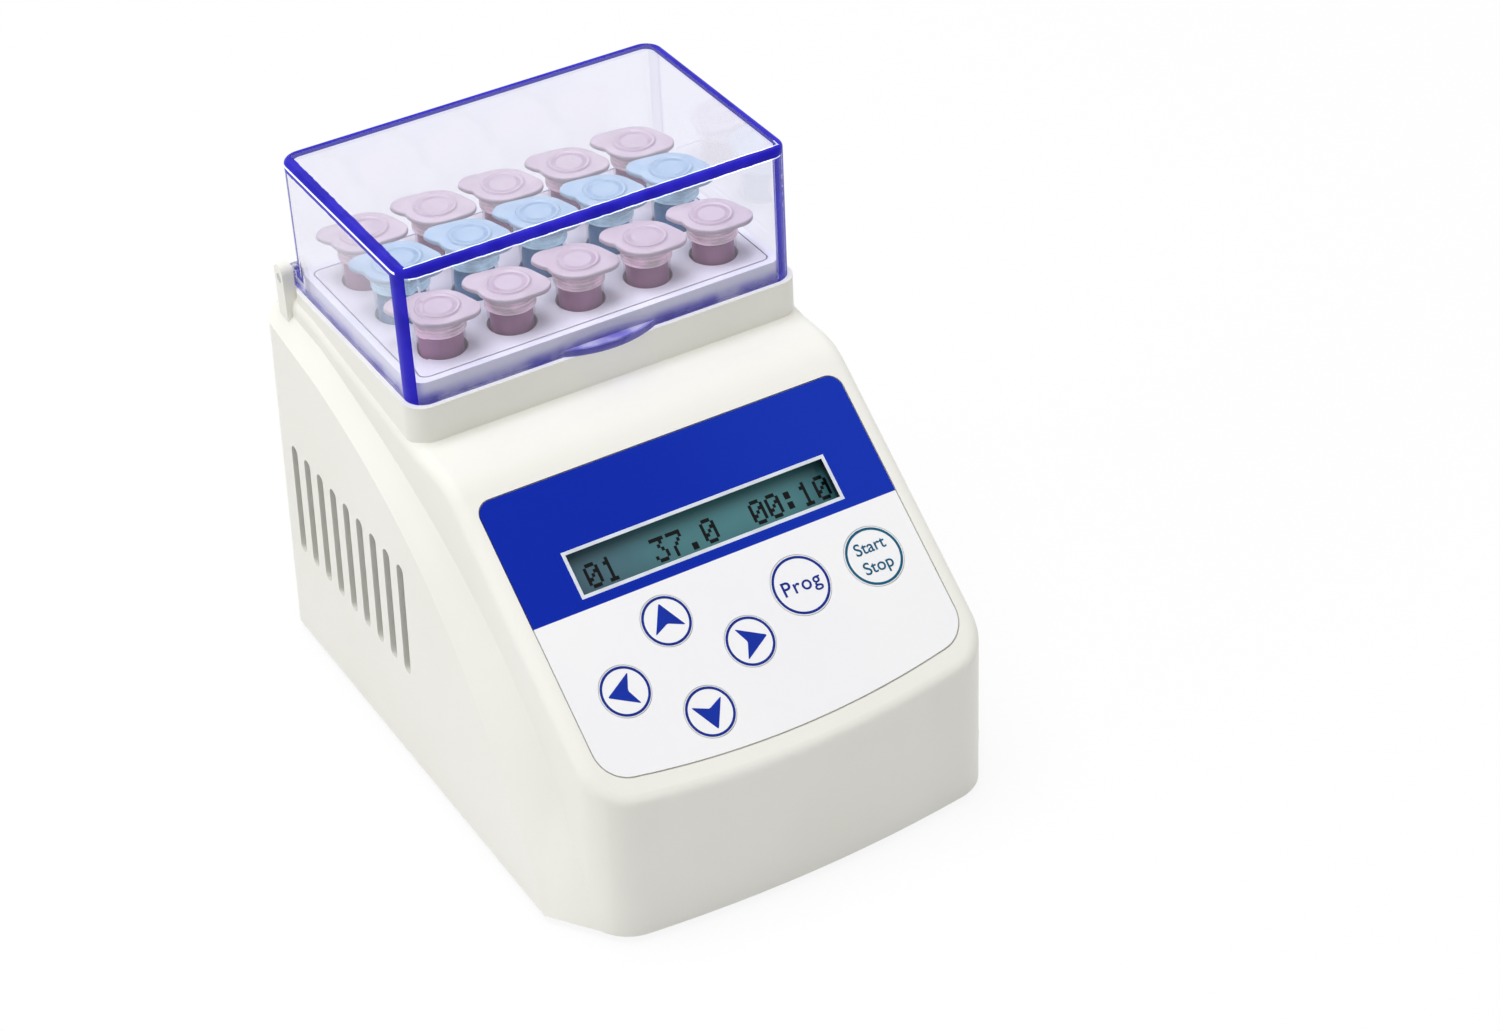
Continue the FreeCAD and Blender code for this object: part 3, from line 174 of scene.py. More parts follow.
def newMaterial(name):
    material = bpy.data.materials.new(name)
    material.use_nodes = True
    tree = material.node_tree
    tree.nodes.clear()
    shader = tree.nodes.new("ShaderNodeBsdfPrincipled")
    output = tree.nodes.new("ShaderNodeOutputMaterial")
    tree.links.new(shader.outputs[0], output.inputs["Surface"])
    return material, tree, shader


def outputOf(tree):
    return next(node for node in tree.nodes if node.type == "OUTPUT_MATERIAL").inputs["Surface"]


def addBump(tree, height, shader, strength, depth=grainDepth):
    node = tree.nodes.new("ShaderNodeBump")
    node.inputs["Strength"].default_value = strength
    node.inputs["Distance"].default_value = depth
    tree.links.new(height, node.inputs["Height"])
    tree.links.new(node.outputs[0], shader.inputs["Normal"])


def surfaceOf(tree, finish, colour=None, shade=None):
    # the shared uneven surface with one finish's amounts
    node = tree.nodes.new("ShaderNodeGroup")
    node.node_tree = unevenSurface
    stretch = finish.get("stretch", (1, 1, 1))
    values = {
        "Point": objectPoint(tree, stretch=stretch),
        "Colour": colour or screen(*finish["colour"]),
        "Shade": shade or screen(*finish["shade"]),
        "Cloud": finish["cloud"],
        "Grain": finish["grain"],
        "Gloss": finish["gloss"],
        "Spread": finish["spread"],
    }
    for name, value in values.items():
        feed(tree, value, node.inputs[name])
    return node.outputs


def coverWith(tree, surface, shader):
    tree.links.new(surface["Colour"], shader.inputs["Base Color"])
    tree.links.new(surface["Roughness"], shader.inputs["Roughness"])


def plainMaterial(name, finish):
    material, tree, shader = newMaterial(name)
    surface = surfaceOf(tree, finish)
    coverWith(tree, surface, shader)
    shader.inputs["Metallic"].default_value = finish.get("metal", 0.0)
    shader.inputs["Coat Weight"].default_value = finish.get("coat", 0.0)
    shader.inputs["Coat Roughness"].default_value = coatRoughness
    shader.inputs["Specular IOR Level"].default_value = finish.get("shine", 0.5)
    shader.inputs["Alpha"].default_value = finish.get("alpha", 1.0)
    # painted glow: the surface's own colour glows, in place of light that comes through a milky wall
    tree.links.new(surface["Colour"], shader.inputs["Emission Color"])
    shader.inputs["Emission Strength"].default_value = finish.get("through", 0.0)
    addBump(tree, surface["Height"], shader, finish.get("bump", 0.2), finish.get("depth", grainDepth))
    return material


# Finishes of the plain mouldings, metals and soft sheets

satin = {"cloud": 22.0, "grain": 1900.0, "gloss": 0.42, "spread": 0.12, "bump": 0.18}
finishes = {
    "case_plastic": dict(satin, colour=(243, 242, 235), shade=(240, 239, 231)),
    "base_plastic": dict(satin, colour=(233, 231, 223), shade=(228, 226, 217), gloss=0.5, bump=0.3),
    "bezel_plastic": dict(satin, colour=(240, 240, 247), shade=(233, 233, 243), gloss=0.3),
    "block_metal": dict(
        satin, colour=(236, 234, 238), shade=(231, 228, 234), grain=900.0, gloss=0.38, bump=0.25
    ),
    "key_film": dict(
        satin, colour=(248, 248, 249), shade=(246, 246, 248), gloss=0.4, bump=0.1, shine=0.12
    ),
    "dark_metal": dict(satin, colour=(92, 92, 94), shade=(72, 72, 75), metal=1.0, gloss=0.34),
    "circuit_board": dict(satin, colour=(24, 92, 58), shade=(18, 74, 46), cloud=160.0, gloss=0.34),
    "black_plastic": dict(satin, colour=(34, 34, 36), shade=(27, 27, 29), gloss=0.4, bump=0.3),
    "rocker_plastic": dict(satin, colour=(30, 30, 32), shade=(24, 24, 26), gloss=0.26, coat=0.3),
    "steel": dict(
        satin, colour=(190, 191, 194), shade=(170, 171, 175), metal=1.0, gloss=0.28,
        stretch=(6, 1, 1)
    ),
    "nylon": dict(satin, colour=(236, 234, 224), shade=(226, 224, 212), gloss=0.45),
    "rubber": dict(satin, colour=(46, 46, 48), shade=(38, 38, 40), gloss=0.7, bump=0.4),
    "silicone": dict(satin, colour=(196, 84, 42), shade=(184, 74, 36), gloss=0.5, bump=0.4),
    "felt": dict(satin, colour=(214, 211, 202), shade=(192, 188, 176), grain=1400.0, gloss=0.9,
                 bump=0.8, depth=0.1 * mm),
}
materials = {slot: plainMaterial(slot, finish) for slot, finish in finishes.items()}

# The slanted panel: its place, its film and its display

panel = {"slope": 37.3, "film": 0.8, "band": 29.7, "bandBlur": 0.06, "print": 0.05}
window = {
    "width": 65.4, "height": 11.4, "down": 21.85, "wellDepth": 2.6, "wallReach": 0.1, "belowFace": 0.04,
}
slope = math.radians(panel["slope"])
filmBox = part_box("panel_overlay")
panelTop = Vector((0, filmBox[1].y - panel["film"] * mm * math.sin(slope), filmBox[1].z))
panelPlace = Matrix.Translation(panelTop) @ Matrix.Rotation(slope, 4, "X")


def panelPoint(tree):
    # across the panel, up it and out of it
    return apart(tree, objectPoint(tree, tuple(panelTop), (slope, 0, 0)))


def windowWell(tree):
    # one on the window's upright walls, from just below the film's face to the glass, where shade is painted
    across, up, out = panelPoint(tree)
    fromMiddle = maths(tree, "ABSOLUTE", maths(tree, "ADD", up, window["down"] * mm))
    halfWidth = (window["width"] / 2 + window["wallReach"]) * mm
    halfHeight = (window["height"] / 2 + window["wallReach"]) * mm
    inWidth = maths(tree, "LESS_THAN", maths(tree, "ABSOLUTE", across), halfWidth)
    inHeight = maths(tree, "LESS_THAN", fromMiddle, halfHeight)
    below = maths(tree, "LESS_THAN", out, -window["belowFace"] * mm)
    above = maths(tree, "GREATER_THAN", out, -window["wellDepth"] * mm)
    inPlan = maths(tree, "MULTIPLY", inWidth, inHeight)
    return maths(tree, "MULTIPLY", inPlan, maths(tree, "MULTIPLY", below, above))


# painted shade: the window's upright walls are coloured dark, as the shade inside the recess
paintedWellShade = (30, 44, 52)
filmLook = {
    "blue": (6, 40, 166), "blueRight": (16, 50, 174), "white": (248, 248, 249),
    "whiteShade": (246, 246, 248), "cloud": 30.0, "grain": 1500.0, "gloss": 0.4, "spread": 0.1,
    "shine": 0.12, "bump": 0.1, "blueFrom": -25, "blueTo": 45,
}


def buildFilm():
    # white below, blue above, and the blue a little lighter towards the right
    look = filmLook
    material, tree, shader = newMaterial("overlayFilm")
    across, up = panelPoint(tree)[:2]
    edge, blur = -panel["band"], panel["bandBlur"]
    band = ramp(tree, up, (edge - blur) * mm, (edge + blur) * mm)
    side = ramp(tree, across, look["blueFrom"] * mm, look["blueTo"] * mm)
    blue = mixColour(tree, side, screen(*look["blue"]), screen(*look["blueRight"]))
    # painted shade on the walls of the window's opening in the film
    well = windowWell(tree)
    dark = screen(*paintedWellShade)
    colour = mixColour(tree, well, mixColour(tree, band, screen(*look["white"]), blue), dark)
    shade = mixColour(tree, well, mixColour(tree, band, screen(*look["whiteShade"]), blue), dark)
    surface = surfaceOf(tree, look, colour, shade)
    coverWith(tree, surface, shader)
    shader.inputs["Specular IOR Level"].default_value = look["shine"]
    addBump(tree, surface["Height"], shader, look["bump"])
    return material


def buildCasePlastic():
    # the satin moulding, with painted shade on the walls of the display's window
    look = finishes["case_plastic"]
    material, tree, shader = newMaterial("casePlastic")
    well = windowWell(tree)
    colour = mixColour(tree, well, screen(*look["colour"]), screen(*paintedWellShade))
    shade = mixColour(tree, well, screen(*look["shade"]), screen(*paintedWellShade))
    surface = surfaceOf(tree, look, colour, shade)
    coverWith(tree, surface, shader)
    addBump(tree, surface["Height"], shader, look["bump"])
    return material


displayLook = {
    # painted shade: the right end is darker than the middle, and the left end a little darker, as shade from
    # the window's recess walls
    "left": (76, 108, 122), "middle": (78, 130, 136), "right": (50, 100, 108),
    "cloud": 60.0, "grain": 2600.0, "gloss": 0.16, "spread": 0.06, "shine": 0.2, "darker": 0.12,
    "toMiddle": (-32, 2), "toShadedRight": (20, 36),
}


def buildDisplayGlass():
    look = displayLook
    material, tree, shader = newMaterial("displayGlass")
    across = panelPoint(tree)[0]
    # painted shade towards the ends, from the left through the middle to the darker right
    toMiddle, toShadedRight = (
        ramp(tree, across, look[step][0] * mm, look[step][1] * mm) for step in ("toMiddle", "toShadedRight")
    )
    colour = mixColour(tree, toMiddle, screen(*look["left"]), screen(*look["middle"]))
    colour = mixColour(tree, toShadedRight, colour, screen(*look["right"]))
    shade = mixColour(tree, look["darker"], colour, (0, 0, 0, 1))
    surface = surfaceOf(tree, look, colour, shade)
    coverWith(tree, surface, shader)
    shader.inputs["Specular IOR Level"].default_value = look["shine"]
    return material


materials["case_plastic"] = buildCasePlastic()
materials["overlay_film"] = buildFilm()
materials["display_glass"] = buildDisplayGlass()

# The lid's clear plastic, deep blue where one looks along its edges: painted edge light, an opaque glowing
# blue in place of the light led along the tinted plastic

lidLook = {
    # painted light: blue, blueShade and rim colour the painted edge light, deep the glow given to light
    # caught between the skins, line the painted highlights
    "clear": (248, 248, 254), "blue": (34, 27, 162), "blueShade": (24, 17, 148), "deep": (44, 36, 164),
    "rim": (84, 72, 205), "line": (235, 238, 255), "lampTint": (246, 246, 252),
    # widths and heights in mm
    "band": 1.75, "bandBlur": 0.12, "uneven": 0.5, "leftExtra": 0.6, "cornerAcross": 1.6, "cornerBack": 5.2,
    "highlightWidth": 0.3, "blur": 0.1, "leftHighlight": 0.85, "leftHighlightWidth": 0.6, "leftSkin": 0.3, "skin": 0.6,
    "frontReach": 4, "rimFoot": 0.4, "rimHeight": 3.2, "lipWidth": 22.8, "lipLine": 0.55, "lipBlur": 0.2,
    "lipStart": 0.05,
    # strengths
    "rearCorner": 0.1, "cornerSoft": 0.96, "rimBlue": 0.9, "rimPatches": 0.6, "lipBlue": 0.85,
    "highlightGlow": 0.9, "edgeGlow": 0.5, "edgeRoughness": 0.3, "edgeShine": 0.1, "roughness": 0.03, "ior": 1.45,
    # how finely the unevenness, the patches and the gloss are spread
    "unevenScale": 420.0, "patchScale": 160.0, "glossScale": 60.0,
}
bounce = {"caughtAfter": 1.5, "directBelow": 0.5}  # counts of reflections and of scatterings


def seenDirectly(tree):
    # one for rays that haven't been scattered, zero for those that light the object
    rays = tree.nodes.new("ShaderNodeLightPath").outputs
    return maths(tree, "LESS_THAN", rays["Diffuse Depth"], bounce["directBelow"])


def buildLidPlastic():
    look = lidLook
    material, tree, shader = newMaterial("lidPlastic")
    low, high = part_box("block_tray")  # the tray has the lid's outline
    lidLow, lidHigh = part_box("lid")
    middleY = (low.y + high.y) / 2
    point = objectPoint(tree)
    x, y, z = apart(tree, point)
    fromSide = maths(tree, "SUBTRACT", high.x, maths(tree, "ABSOLUTE", x))
    offMiddle = maths(tree, "ABSOLUTE", maths(tree, "SUBTRACT", y, middleY))
    fromEnd = maths(tree, "SUBTRACT", (high.y - low.y) / 2, offMiddle)
    fromTop = maths(tree, "SUBTRACT", lidHigh.z, z)
    nearest = maths(tree, "MINIMUM", fromSide, fromEnd)
    fromFront = maths(tree, "SUBTRACT", y, low.y)
    fromLeft = maths(tree, "SUBTRACT", x, low.x)
    swing = maths(tree, "SUBTRACT", noise(tree, point, look["unevenScale"]), 0.5)
    uneven = maths(tree, "MULTIPLY", swing, look["uneven"] * mm)
    toTopEdge = maths(tree, "ADD", maths(tree, "MAXIMUM", nearest, fromTop), uneven)
    band, blur = look["band"] * mm, look["blur"] * mm
    atLeft = maths(tree, "LESS_THAN", fromLeft, fromEnd)
    pastBand = maths(tree, "MULTIPLY_ADD", atLeft, -look["leftExtra"] * mm, toTopEdge)
    # painted edge light: a blue band along the top edges and down the front corners, faint at the rear
    topEdgeLight = ramp(tree, pastBand, band, band + look["bandBlur"] * mm, 1.0, 0.0)
    across = maths(tree, "DIVIDE", fromSide, look["cornerAcross"] * mm)
    back = maths(tree, "DIVIDE", fromEnd, look["cornerBack"] * mm)
    corner = ramp(tree, maths(tree, "MAXIMUM", across, back), look["cornerSoft"], 1.0, 1.0, 0.0)
    front = ramp(tree, y, middleY - 1 * mm, middleY, 1.0, look["rearCorner"])
    blue = maths(tree, "MAXIMUM", topEdgeLight, maths(tree, "MULTIPLY", corner, front))
    # painted edge light: the lower rim and the finger lip catch some of the blue, in patches
    patches = ramp(tree, noise(tree, point, look["patchScale"], 3.0), 0.35, 0.65)
    fromFoot = maths(tree, "SUBTRACT", z, lidLow.z)
    rim = ramp(tree, fromFoot, look["rimFoot"] * mm, look["rimHeight"] * mm, look["rimBlue"], 0.0)
    patched = maths(tree, "MULTIPLY", patches, look["rimPatches"])
    rim = maths(tree, "MULTIPLY", rim, maths(tree, "ADD", patched, 1 - look["rimPatches"]))
    # a painted blue edge-light line along the crescent's edge
    reach = low.y - lidLow.y
    half = look["lipWidth"] / 2 * mm
    bend = (half * half + reach * reach) / (2 * reach)
    fromBend = maths(tree, "SUBTRACT", y, lidLow.y + bend)
    squares = maths(tree, "MULTIPLY_ADD", x, x, maths(tree, "MULTIPLY", fromBend, fromBend))
    toLipEdge = maths(tree, "SUBTRACT", bend, maths(tree, "SQRT", squares))
    lipEnd = (look["lipLine"] + look["lipBlur"]) * mm
    lip = ramp(tree, toLipEdge, look["lipLine"] * mm, lipEnd, look["lipBlue"], 0.0)
    lip = maths(tree, "MULTIPLY", lip, maths(tree, "LESS_THAN", y, low.y - look["lipStart"] * mm))
    rim = maths(tree, "MAXIMUM", rim, lip)
    colour = mixColour(tree, rim, screen(*look["clear"]), screen(*look["rim"]))
    tree.links.new(colour, shader.inputs["Base Color"])
    # painted highlight: a bright glowing line runs inside the blue of the top edges, at the front
    highlightEnd = band + look["highlightWidth"] * mm
    inside = ramp(tree, toTopEdge, band, band + blur)
    outside = ramp(tree, toTopEdge, highlightEnd, highlightEnd + blur)
    paintedHighlight = maths(tree, "SUBTRACT", inside, outside)
    onSkin = maths(tree, "LESS_THAN", maths(tree, "MINIMUM", nearest, fromTop), look["skin"] * mm)
    atFront = maths(tree, "LESS_THAN", fromFront, look["frontReach"] * mm)
    paintedHighlight = maths(tree, "MULTIPLY", paintedHighlight, maths(tree, "MULTIPLY", onSkin, atFront))
    glow = mixColour(tree, paintedHighlight, (0, 0, 0, 1), screen(*look["line"]))
    tree.links.new(glow, shader.inputs["Emission Color"])
    shader.inputs["Emission Strength"].default_value = look["highlightGlow"]
    shader.inputs["Transmission Weight"].default_value = 1.0
    shader.inputs["IOR"].default_value = look["ior"]
    rough = ramp(tree, noise(tree, point, look["glossScale"]), 0.2, 0.8, 0.0, look["roughness"])
    tree.links.new(rough, shader.inputs["Roughness"])
    # the painted blue edge light hides what is behind it, and glows a little
    edge = tree.nodes.new("ShaderNodeBsdfPrincipled")
    paintedEdgeLight = mixColour(tree, patches, screen(*look["blue"]), screen(*look["blueShade"]))
    # painted highlight: a white line in the blue of the left side's top edge
    highlightTop = look["leftHighlight"] * mm
    highlightLow = highlightTop + look["leftHighlightWidth"] * mm
    above, under = (ramp(tree, fromTop, height - blur, height) for height in (highlightTop, highlightLow))
    leftHighlight = maths(tree, "SUBTRACT", above, under)
    onLeft = maths(tree, "LESS_THAN", fromLeft, look["leftSkin"] * mm)
    leftHighlight = maths(tree, "MULTIPLY", leftHighlight, onLeft)
    paintedEdgeLight = mixColour(tree, leftHighlight, paintedEdgeLight, screen(*look["line"]))
    tree.links.new(paintedEdgeLight, edge.inputs["Base Color"])
    tree.links.new(paintedEdgeLight, edge.inputs["Emission Color"])
    edge.inputs["Emission Strength"].default_value = look["edgeGlow"]
    edge.inputs["Roughness"].default_value = look["edgeRoughness"]
    edge.inputs["Specular IOR Level"].default_value = look["edgeShine"]
    body = mixShader(tree, blue, shader.outputs[0], edge.outputs[0])
    # light caught between the skins comes out deep blue
    rays = tree.nodes.new("ShaderNodeLightPath").outputs
    caught = maths(tree, "GREATER_THAN", rays["Glossy Depth"], bounce["caughtAfter"])
    caught = maths(tree, "MULTIPLY", caught, seenDirectly(tree))
    deep = tree.nodes.new("ShaderNodeEmission")
    deep.inputs["Color"].default_value = screen(*look["deep"])
    body = mixShader(tree, caught, body, deep.outputs[0])
    # lamps shine through it
    clear = tree.nodes.new("ShaderNodeBsdfTransparent")
    clear.inputs[0].default_value = screen(*look["lampTint"])
    body = mixShader(tree, rays["Is Shadow Ray"], body, clear.outputs[0])
    tree.links.new(body, outputOf(tree))
    return material


materials["clear_lid"] = buildLidPlastic()

# Tubes, pink or blue: milky cap, clear wall and what is in it

tubeLooks = {
    # line is a painted shade colour for the ring round each cap's raised middle
    "pink": {"cap": (196, 182, 189), "capShade": (189, 173, 182), "line": (172, 149, 165),
             "wall": (236, 210, 226), "content": (132, 62, 114), "contentTop": (142, 76, 126)},
    "blue": {"cap": (164, 186, 202), "capShade": (152, 178, 199), "line": (122, 152, 180),
             "wall": (204, 232, 244), "content": (30, 94, 148), "contentTop": (48, 118, 168)},
}
tubeSlots = {"pink": "pink_tube", "blue": "blue_tube"}


def buildTubeMaterials(tint, look):
    amounts = {"cloud": 240.0, "grain": 1600.0, "gloss": 0.34, "spread": 0.1, "bump": 0.15}
    cap = dict(amounts, colour=look["cap"], shade=look["capShade"], coat=0.2)
    wall = dict(
        amounts, colour=look["wall"], shade=look["cap"], gloss=0.12, spread=0.04, alpha=0.16, coat=0.5
    )
    # painted glow on the rim and the content, in place of light coming through the milky plastic
    rim = dict(wall, alpha=0.74, gloss=0.2, through=0.24)
    line = dict(cap, colour=look["line"], shade=look["capShade"])
    content = dict(
        amounts, colour=look["content"], shade=look["contentTop"], cloud=90.0, gloss=0.3, through=0.05
    )
    return {
        "cap": plainMaterial(tint + "Cap", cap),
        "line": plainMaterial(tint + "Line", line),
        "wall": plainMaterial(tint + "Wall", wall),
        "rim": plainMaterial(tint + "Rim", rim),
        "content": plainMaterial(tint + "Content", content),
    }


tubeMaterials = {tint: buildTubeMaterials(tint, look) for tint, look in tubeLooks.items()}
for tint, slot in tubeSlots.items():
    materials[slot] = tubeMaterials[tint]["cap"]

for entry in frame["record"]["subparts"]:
    node = frame["nodes"][entry["node"]]
    node.data.materials.clear()
    node.data.materials.append(materials[entry["material_slot"]])


# Modelling helpers


def begin(name):
    # the last added primitive, named and open in edit mode, all selected
    piece = bpy.context.object
    piece.name = name
    piece.data.name = name
    bpy.ops.object.mode_set(mode="EDIT")
    return piece


def clearSelection():
    bpy.ops.object.select_all(action="DESELECT")


def only(piece):
    clearSelection()
    piece.select_set(True)
    bpy.context.view_layer.objects.active = piece


def close(piece):
    # doubles merged, faces outwards, back in object mode
    bpy.ops.mesh.select_all(action="SELECT")
    bpy.ops.mesh.remove_doubles(threshold=1e-6)
    bpy.ops.mesh.normals_make_consistent(inside=False)
    bpy.ops.object.mode_set(mode="OBJECT")
    return piece


def settle(piece, place=Matrix.Identity(4)):
    # the piece's place goes into its mesh
    piece.data.transform(place @ piece.matrix_basis)
    piece.matrix_basis = Matrix.Identity(4)
    return piece


def finishPiece(piece, material, body, angle=35):
    piece.data.materials.clear()
    piece.data.materials.append(material)
    only(piece)
    bpy.ops.object.shade_smooth_by_angle(angle=math.radians(angle))
    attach(piece, body)
    return piece


def bevelled(piece, width, segments=2, angle=30):
    modifier = piece.modifiers.new("edge", "BEVEL")
    modifier.width = width
    modifier.segments = segments
    modifier.limit_method = "ANGLE"
    modifier.angle_limit = math.radians(angle)
    only(piece)
    bpy.ops.object.modifier_apply(modifier=modifier.name)
    return piece


def copyOf(piece, name):
    twin = piece.copy()
    twin.data = piece.data.copy()
    twin.name = twin.data.name = name
    bpy.context.scene.collection.objects.link(twin)
    return twin


def joined(pieces, name):
    clearSelection()
    for piece in pieces:
        piece.select_set(True)
    bpy.context.view_layer.objects.active = pieces[0]
    bpy.ops.object.join()
    pieces[0].name = pieces[0].data.name = name
    return pieces[0]


def turnedSolid(name, rings, sides=48):
    # a round solid drawn up from a disc, ring by ring: (radius, height) pairs in mm
    clearSelection()
    rings = [(radius * mm, height * mm) for radius, height in rings]
    radius, height = rings[0]
    bpy.ops.mesh.primitive_circle_add(
        vertices=sides, radius=radius, fill_type="NGON", location=(0, 0, height)
    )
    piece = begin(name)
    for nextRadius, nextHeight in rings[1:]:
        bpy.ops.mesh.extrude_region_move(TRANSFORM_OT_translate={"value": (0, 0, nextHeight - height)})
        scale = nextRadius / radius
        bpy.ops.transform.resize(value=(scale, scale, 1), center_override=(0, 0, 0))
        radius, height = nextRadius, nextHeight
    return settle(close(piece))


# Sample tubes


tube = {
    "wallRadius": 5.3, "neckRadius": 5.05, "rimRadius": 5.75, "rimHeight": 1.3, "capRadius": 7.1,
    "capHeight": 2.6, "ringRadius": 4.9, "ringHeight": 0.5, "capTurn": 37.0,
    "tabReach": 10.2, "tabWidth": 4.8, "strapReach": 9.2, "strapWidth": 3.6, "plate": 1.3,
    "contentRadius": 4.75, "contentTop": 5.0, "tipRadius": 1.5, "straight": 13.2, "seat": 0.65,
    "outlinePoints": 160, "softSteps": 4, "softAngle": 2.5,
}
rows = {"front": "pink", "middle": "blue", "rear": "pink"}
columns = 5
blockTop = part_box("heating_block")[1].z


def capReach(angle):
    # from the cap's middle to its outline: a disc drawn out to a tab and a strap
    reach = tube["capRadius"]
    for side, tip, width in ((math.pi, "tabReach", "tabWidth"), (0.0, "strapReach", "strapWidth")):
        signed = math.remainder(angle - side, 2 * math.pi)
        off, far, half = abs(signed), tube[tip], tube[width] / 2
        corner = math.atan2(half, far)
        touch = corner + math.acos(tube["capRadius"] / math.hypot(far, half))
        if off < corner:
            reach = far / math.cos(off)
        elif side and signed > 0 and off < 1:  # the tab runs straight into the disc on one side
            reach = max(reach, half / math.sin(off))
        elif off < touch:
            reach = tube["capRadius"] / math.cos(off - touch)
    return reach


def softReach(angle):
    # the outline with its corners rounded off
    steps = range(-tube["softSteps"], tube["softSteps"] + 1)
    turn = math.radians(tube["softAngle"])
    return sum(capReach(angle + step * turn) for step in steps) / len(steps)


def modelCap():
    # the wide plate with its tab and strap, a raised ring and a shallow dish, from z = 0 up
    points = tube["outlinePoints"]
    clearSelection()
    bpy.ops.mesh.primitive_circle_add(vertices=points, radius=1.0, fill_type="NGON")
    plate = begin("capPlate")
    bpy.ops.object.mode_set(mode="OBJECT")
    for vertex in plate.data.vertices:
        angle = math.atan2(vertex.co.y, vertex.co.x)
        vertex.co = vertex.co.normalized() * softReach(angle) * mm
    bpy.ops.object.mode_set(mode="EDIT")
    bpy.ops.mesh.select_all(action="SELECT")
    bpy.ops.mesh.extrude_region_move(TRANSFORM_OT_translate={"value": (0, 0, tube["plate"] * mm)})
    settle(close(plate))
    top = tube["capHeight"] - tube["seat"]
    settle(plate, Matrix.Translation((0, 0, (top - tube["plate"]) * mm)))
    bevelled(plate, 0.4 * mm, 3)
    ring, skirt = tube["ringRadius"], tube["rimRadius"] + 0.3
    raised = top + tube["ringHeight"] - 0.15
    rings = [
        (skirt - 0.5, 0.0), (skirt, 0.2), (skirt, 0.6), (skirt - 0.3, top - 0.3), (skirt - 0.4, top - 0.1),
        (ring - 0.05, top + 0.02), (ring - 0.1, raised - 0.1), (ring - 0.2, raised), (ring - 0.35, raised),
        (ring - 0.6, raised - 0.22), (ring - 1.0, raised - 0.28), (1.6, raised - 0.2),
    ]
    crown = turnedSolid("capCrown", rings, 72)
    return joined([plate, crown], "capModel")


def modelLine():
    # a darker ring round the raised middle, on the same feet as the cap: painted shade along the edge of the
    # raised middle
    top = tube["capHeight"] - tube["seat"]
    ring = tube["ringRadius"]
    rings = [(ring, top - 0.3), (ring + 0.25, top - 0.1), (ring + 0.25, top + 0.06), (ring + 0.1, top + 0.1)]
    return turnedSolid("lineModel", rings, 72)


def modelWall(stand):
    # the clear wall from its tip to below the rim
    r, neck = tube["wallRadius"], tube["neckRadius"]
    rings = [
        (tube["tipRadius"], -31.0), (r, -tube["straight"]), (r, stand - 1.9), (r - 0.1, stand - 1.7),
        (neck, stand - 1.5), (neck, stand - 1.3),
    ]
    return turnedSolid("wallModel", rings, 64)


def modelRim(stand):
    # the thicker ribbed mouth below the cap
    r, neck, rim = tube["wallRadius"], tube["neckRadius"], tube["rimRadius"]
    rimTop = stand + tube["rimHeight"]
    rings = [
        (neck - 0.2, stand - 1.29), (r, stand - 1.2), (rim, stand - 0.95), (rim, stand - 0.7),
        (r, stand - 0.5), (r, stand - 0.3), (rim, stand - 0.1), (rim, stand + 0.2), (r, stand + 0.4),
        (r, stand + 0.6), (rim, stand + 0.8), (rim, rimTop - 0.1), (r, rimTop), (neck, rimTop + 0.6),
    ]
    return turnedSolid("rimModel", rings, 64)


def modelContent():
    # what fills the tube, with a slightly hollow top
    inner, top = tube["contentRadius"], tube["contentTop"]
    rings = [
        (tube["tipRadius"] * 0.6, -30.2), (inner, -tube["straight"]), (inner, top - 0.9),
        (inner - 0.15, top - 0.4), (inner - 0.4, top), (inner - 2.6, top - 0.15),
    ]
    return turnedSolid("contentModel", rings)


def placeTubes():
    cap = modelCap()
    content, line = modelContent(), modelLine()
    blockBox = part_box("heating_block")
    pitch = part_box("tube_front_2")[0].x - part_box("tube_front_1")[0].x
    turned = Matrix.Rotation(math.radians(-tube["capTurn"]), 4, "Z")
    for index, (row, tint) in enumerate(rows.items()):
        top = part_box(f"tube_{row}_1")[1].z
        stand = (top - blockTop) / mm - tube["rimHeight"] - tube["capHeight"] - tube["ringHeight"]
        wall, rim = modelWall(stand), modelRim(stand)
        capLift = (stand + tube["rimHeight"] + tube["seat"]) * mm
        offBack = (index - (len(rows) - 1) / 2) * pitch
        for column in range(1, columns + 1):
            node = f"tube_{row}_{column}"
            offSide = (column - (columns + 1) / 2) * pitch
            at = (blockBox[0] + blockBox[1]) / 2 + Vector((offSide, offBack, 0))
            at.z = blockTop
            parts = (
                ("cap", cap, capLift), ("line", line, capLift), ("rim", rim, 0), ("wall", wall, 0),
                ("content", content, 0),
            )
            for word, model, lift in parts:
                piece = copyOf(model, f"{word}_{row}_{column}")
                settle(piece, Matrix.Translation(at + Vector((0, 0, lift))) @ turned)
                finishPiece(piece, tubeMaterials[tint][word], node)
                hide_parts(node)
        bpy.data.objects.remove(wall)
        bpy.data.objects.remove(rim)
    for model in (cap, content, line):
        bpy.data.objects.remove(model)


placeTubes()
print("tubes modelled")

# Prints on the panel: window border, display characters, key rings, arrows and words

prints = {
    "ringWidth": 0.57, "ringScale": 0.965, "blue": (22, 46, 142), "arrowBlue": (20, 50, 165),
    "teal": (22, 92, 124), "border": (226, 232, 240), "ink": (2, 5, 8), "shade": 0.93, "wordWeight": 0.008,
}


def printMaterial(name, colour, gloss=0.36):
    shade = tuple(value * prints["shade"] for value in colour)
    finish = dict(satin, colour=colour, shade=shade, cloud=180.0, gloss=gloss, bump=0.08, shine=0.15)
    return plainMaterial(name, finish)


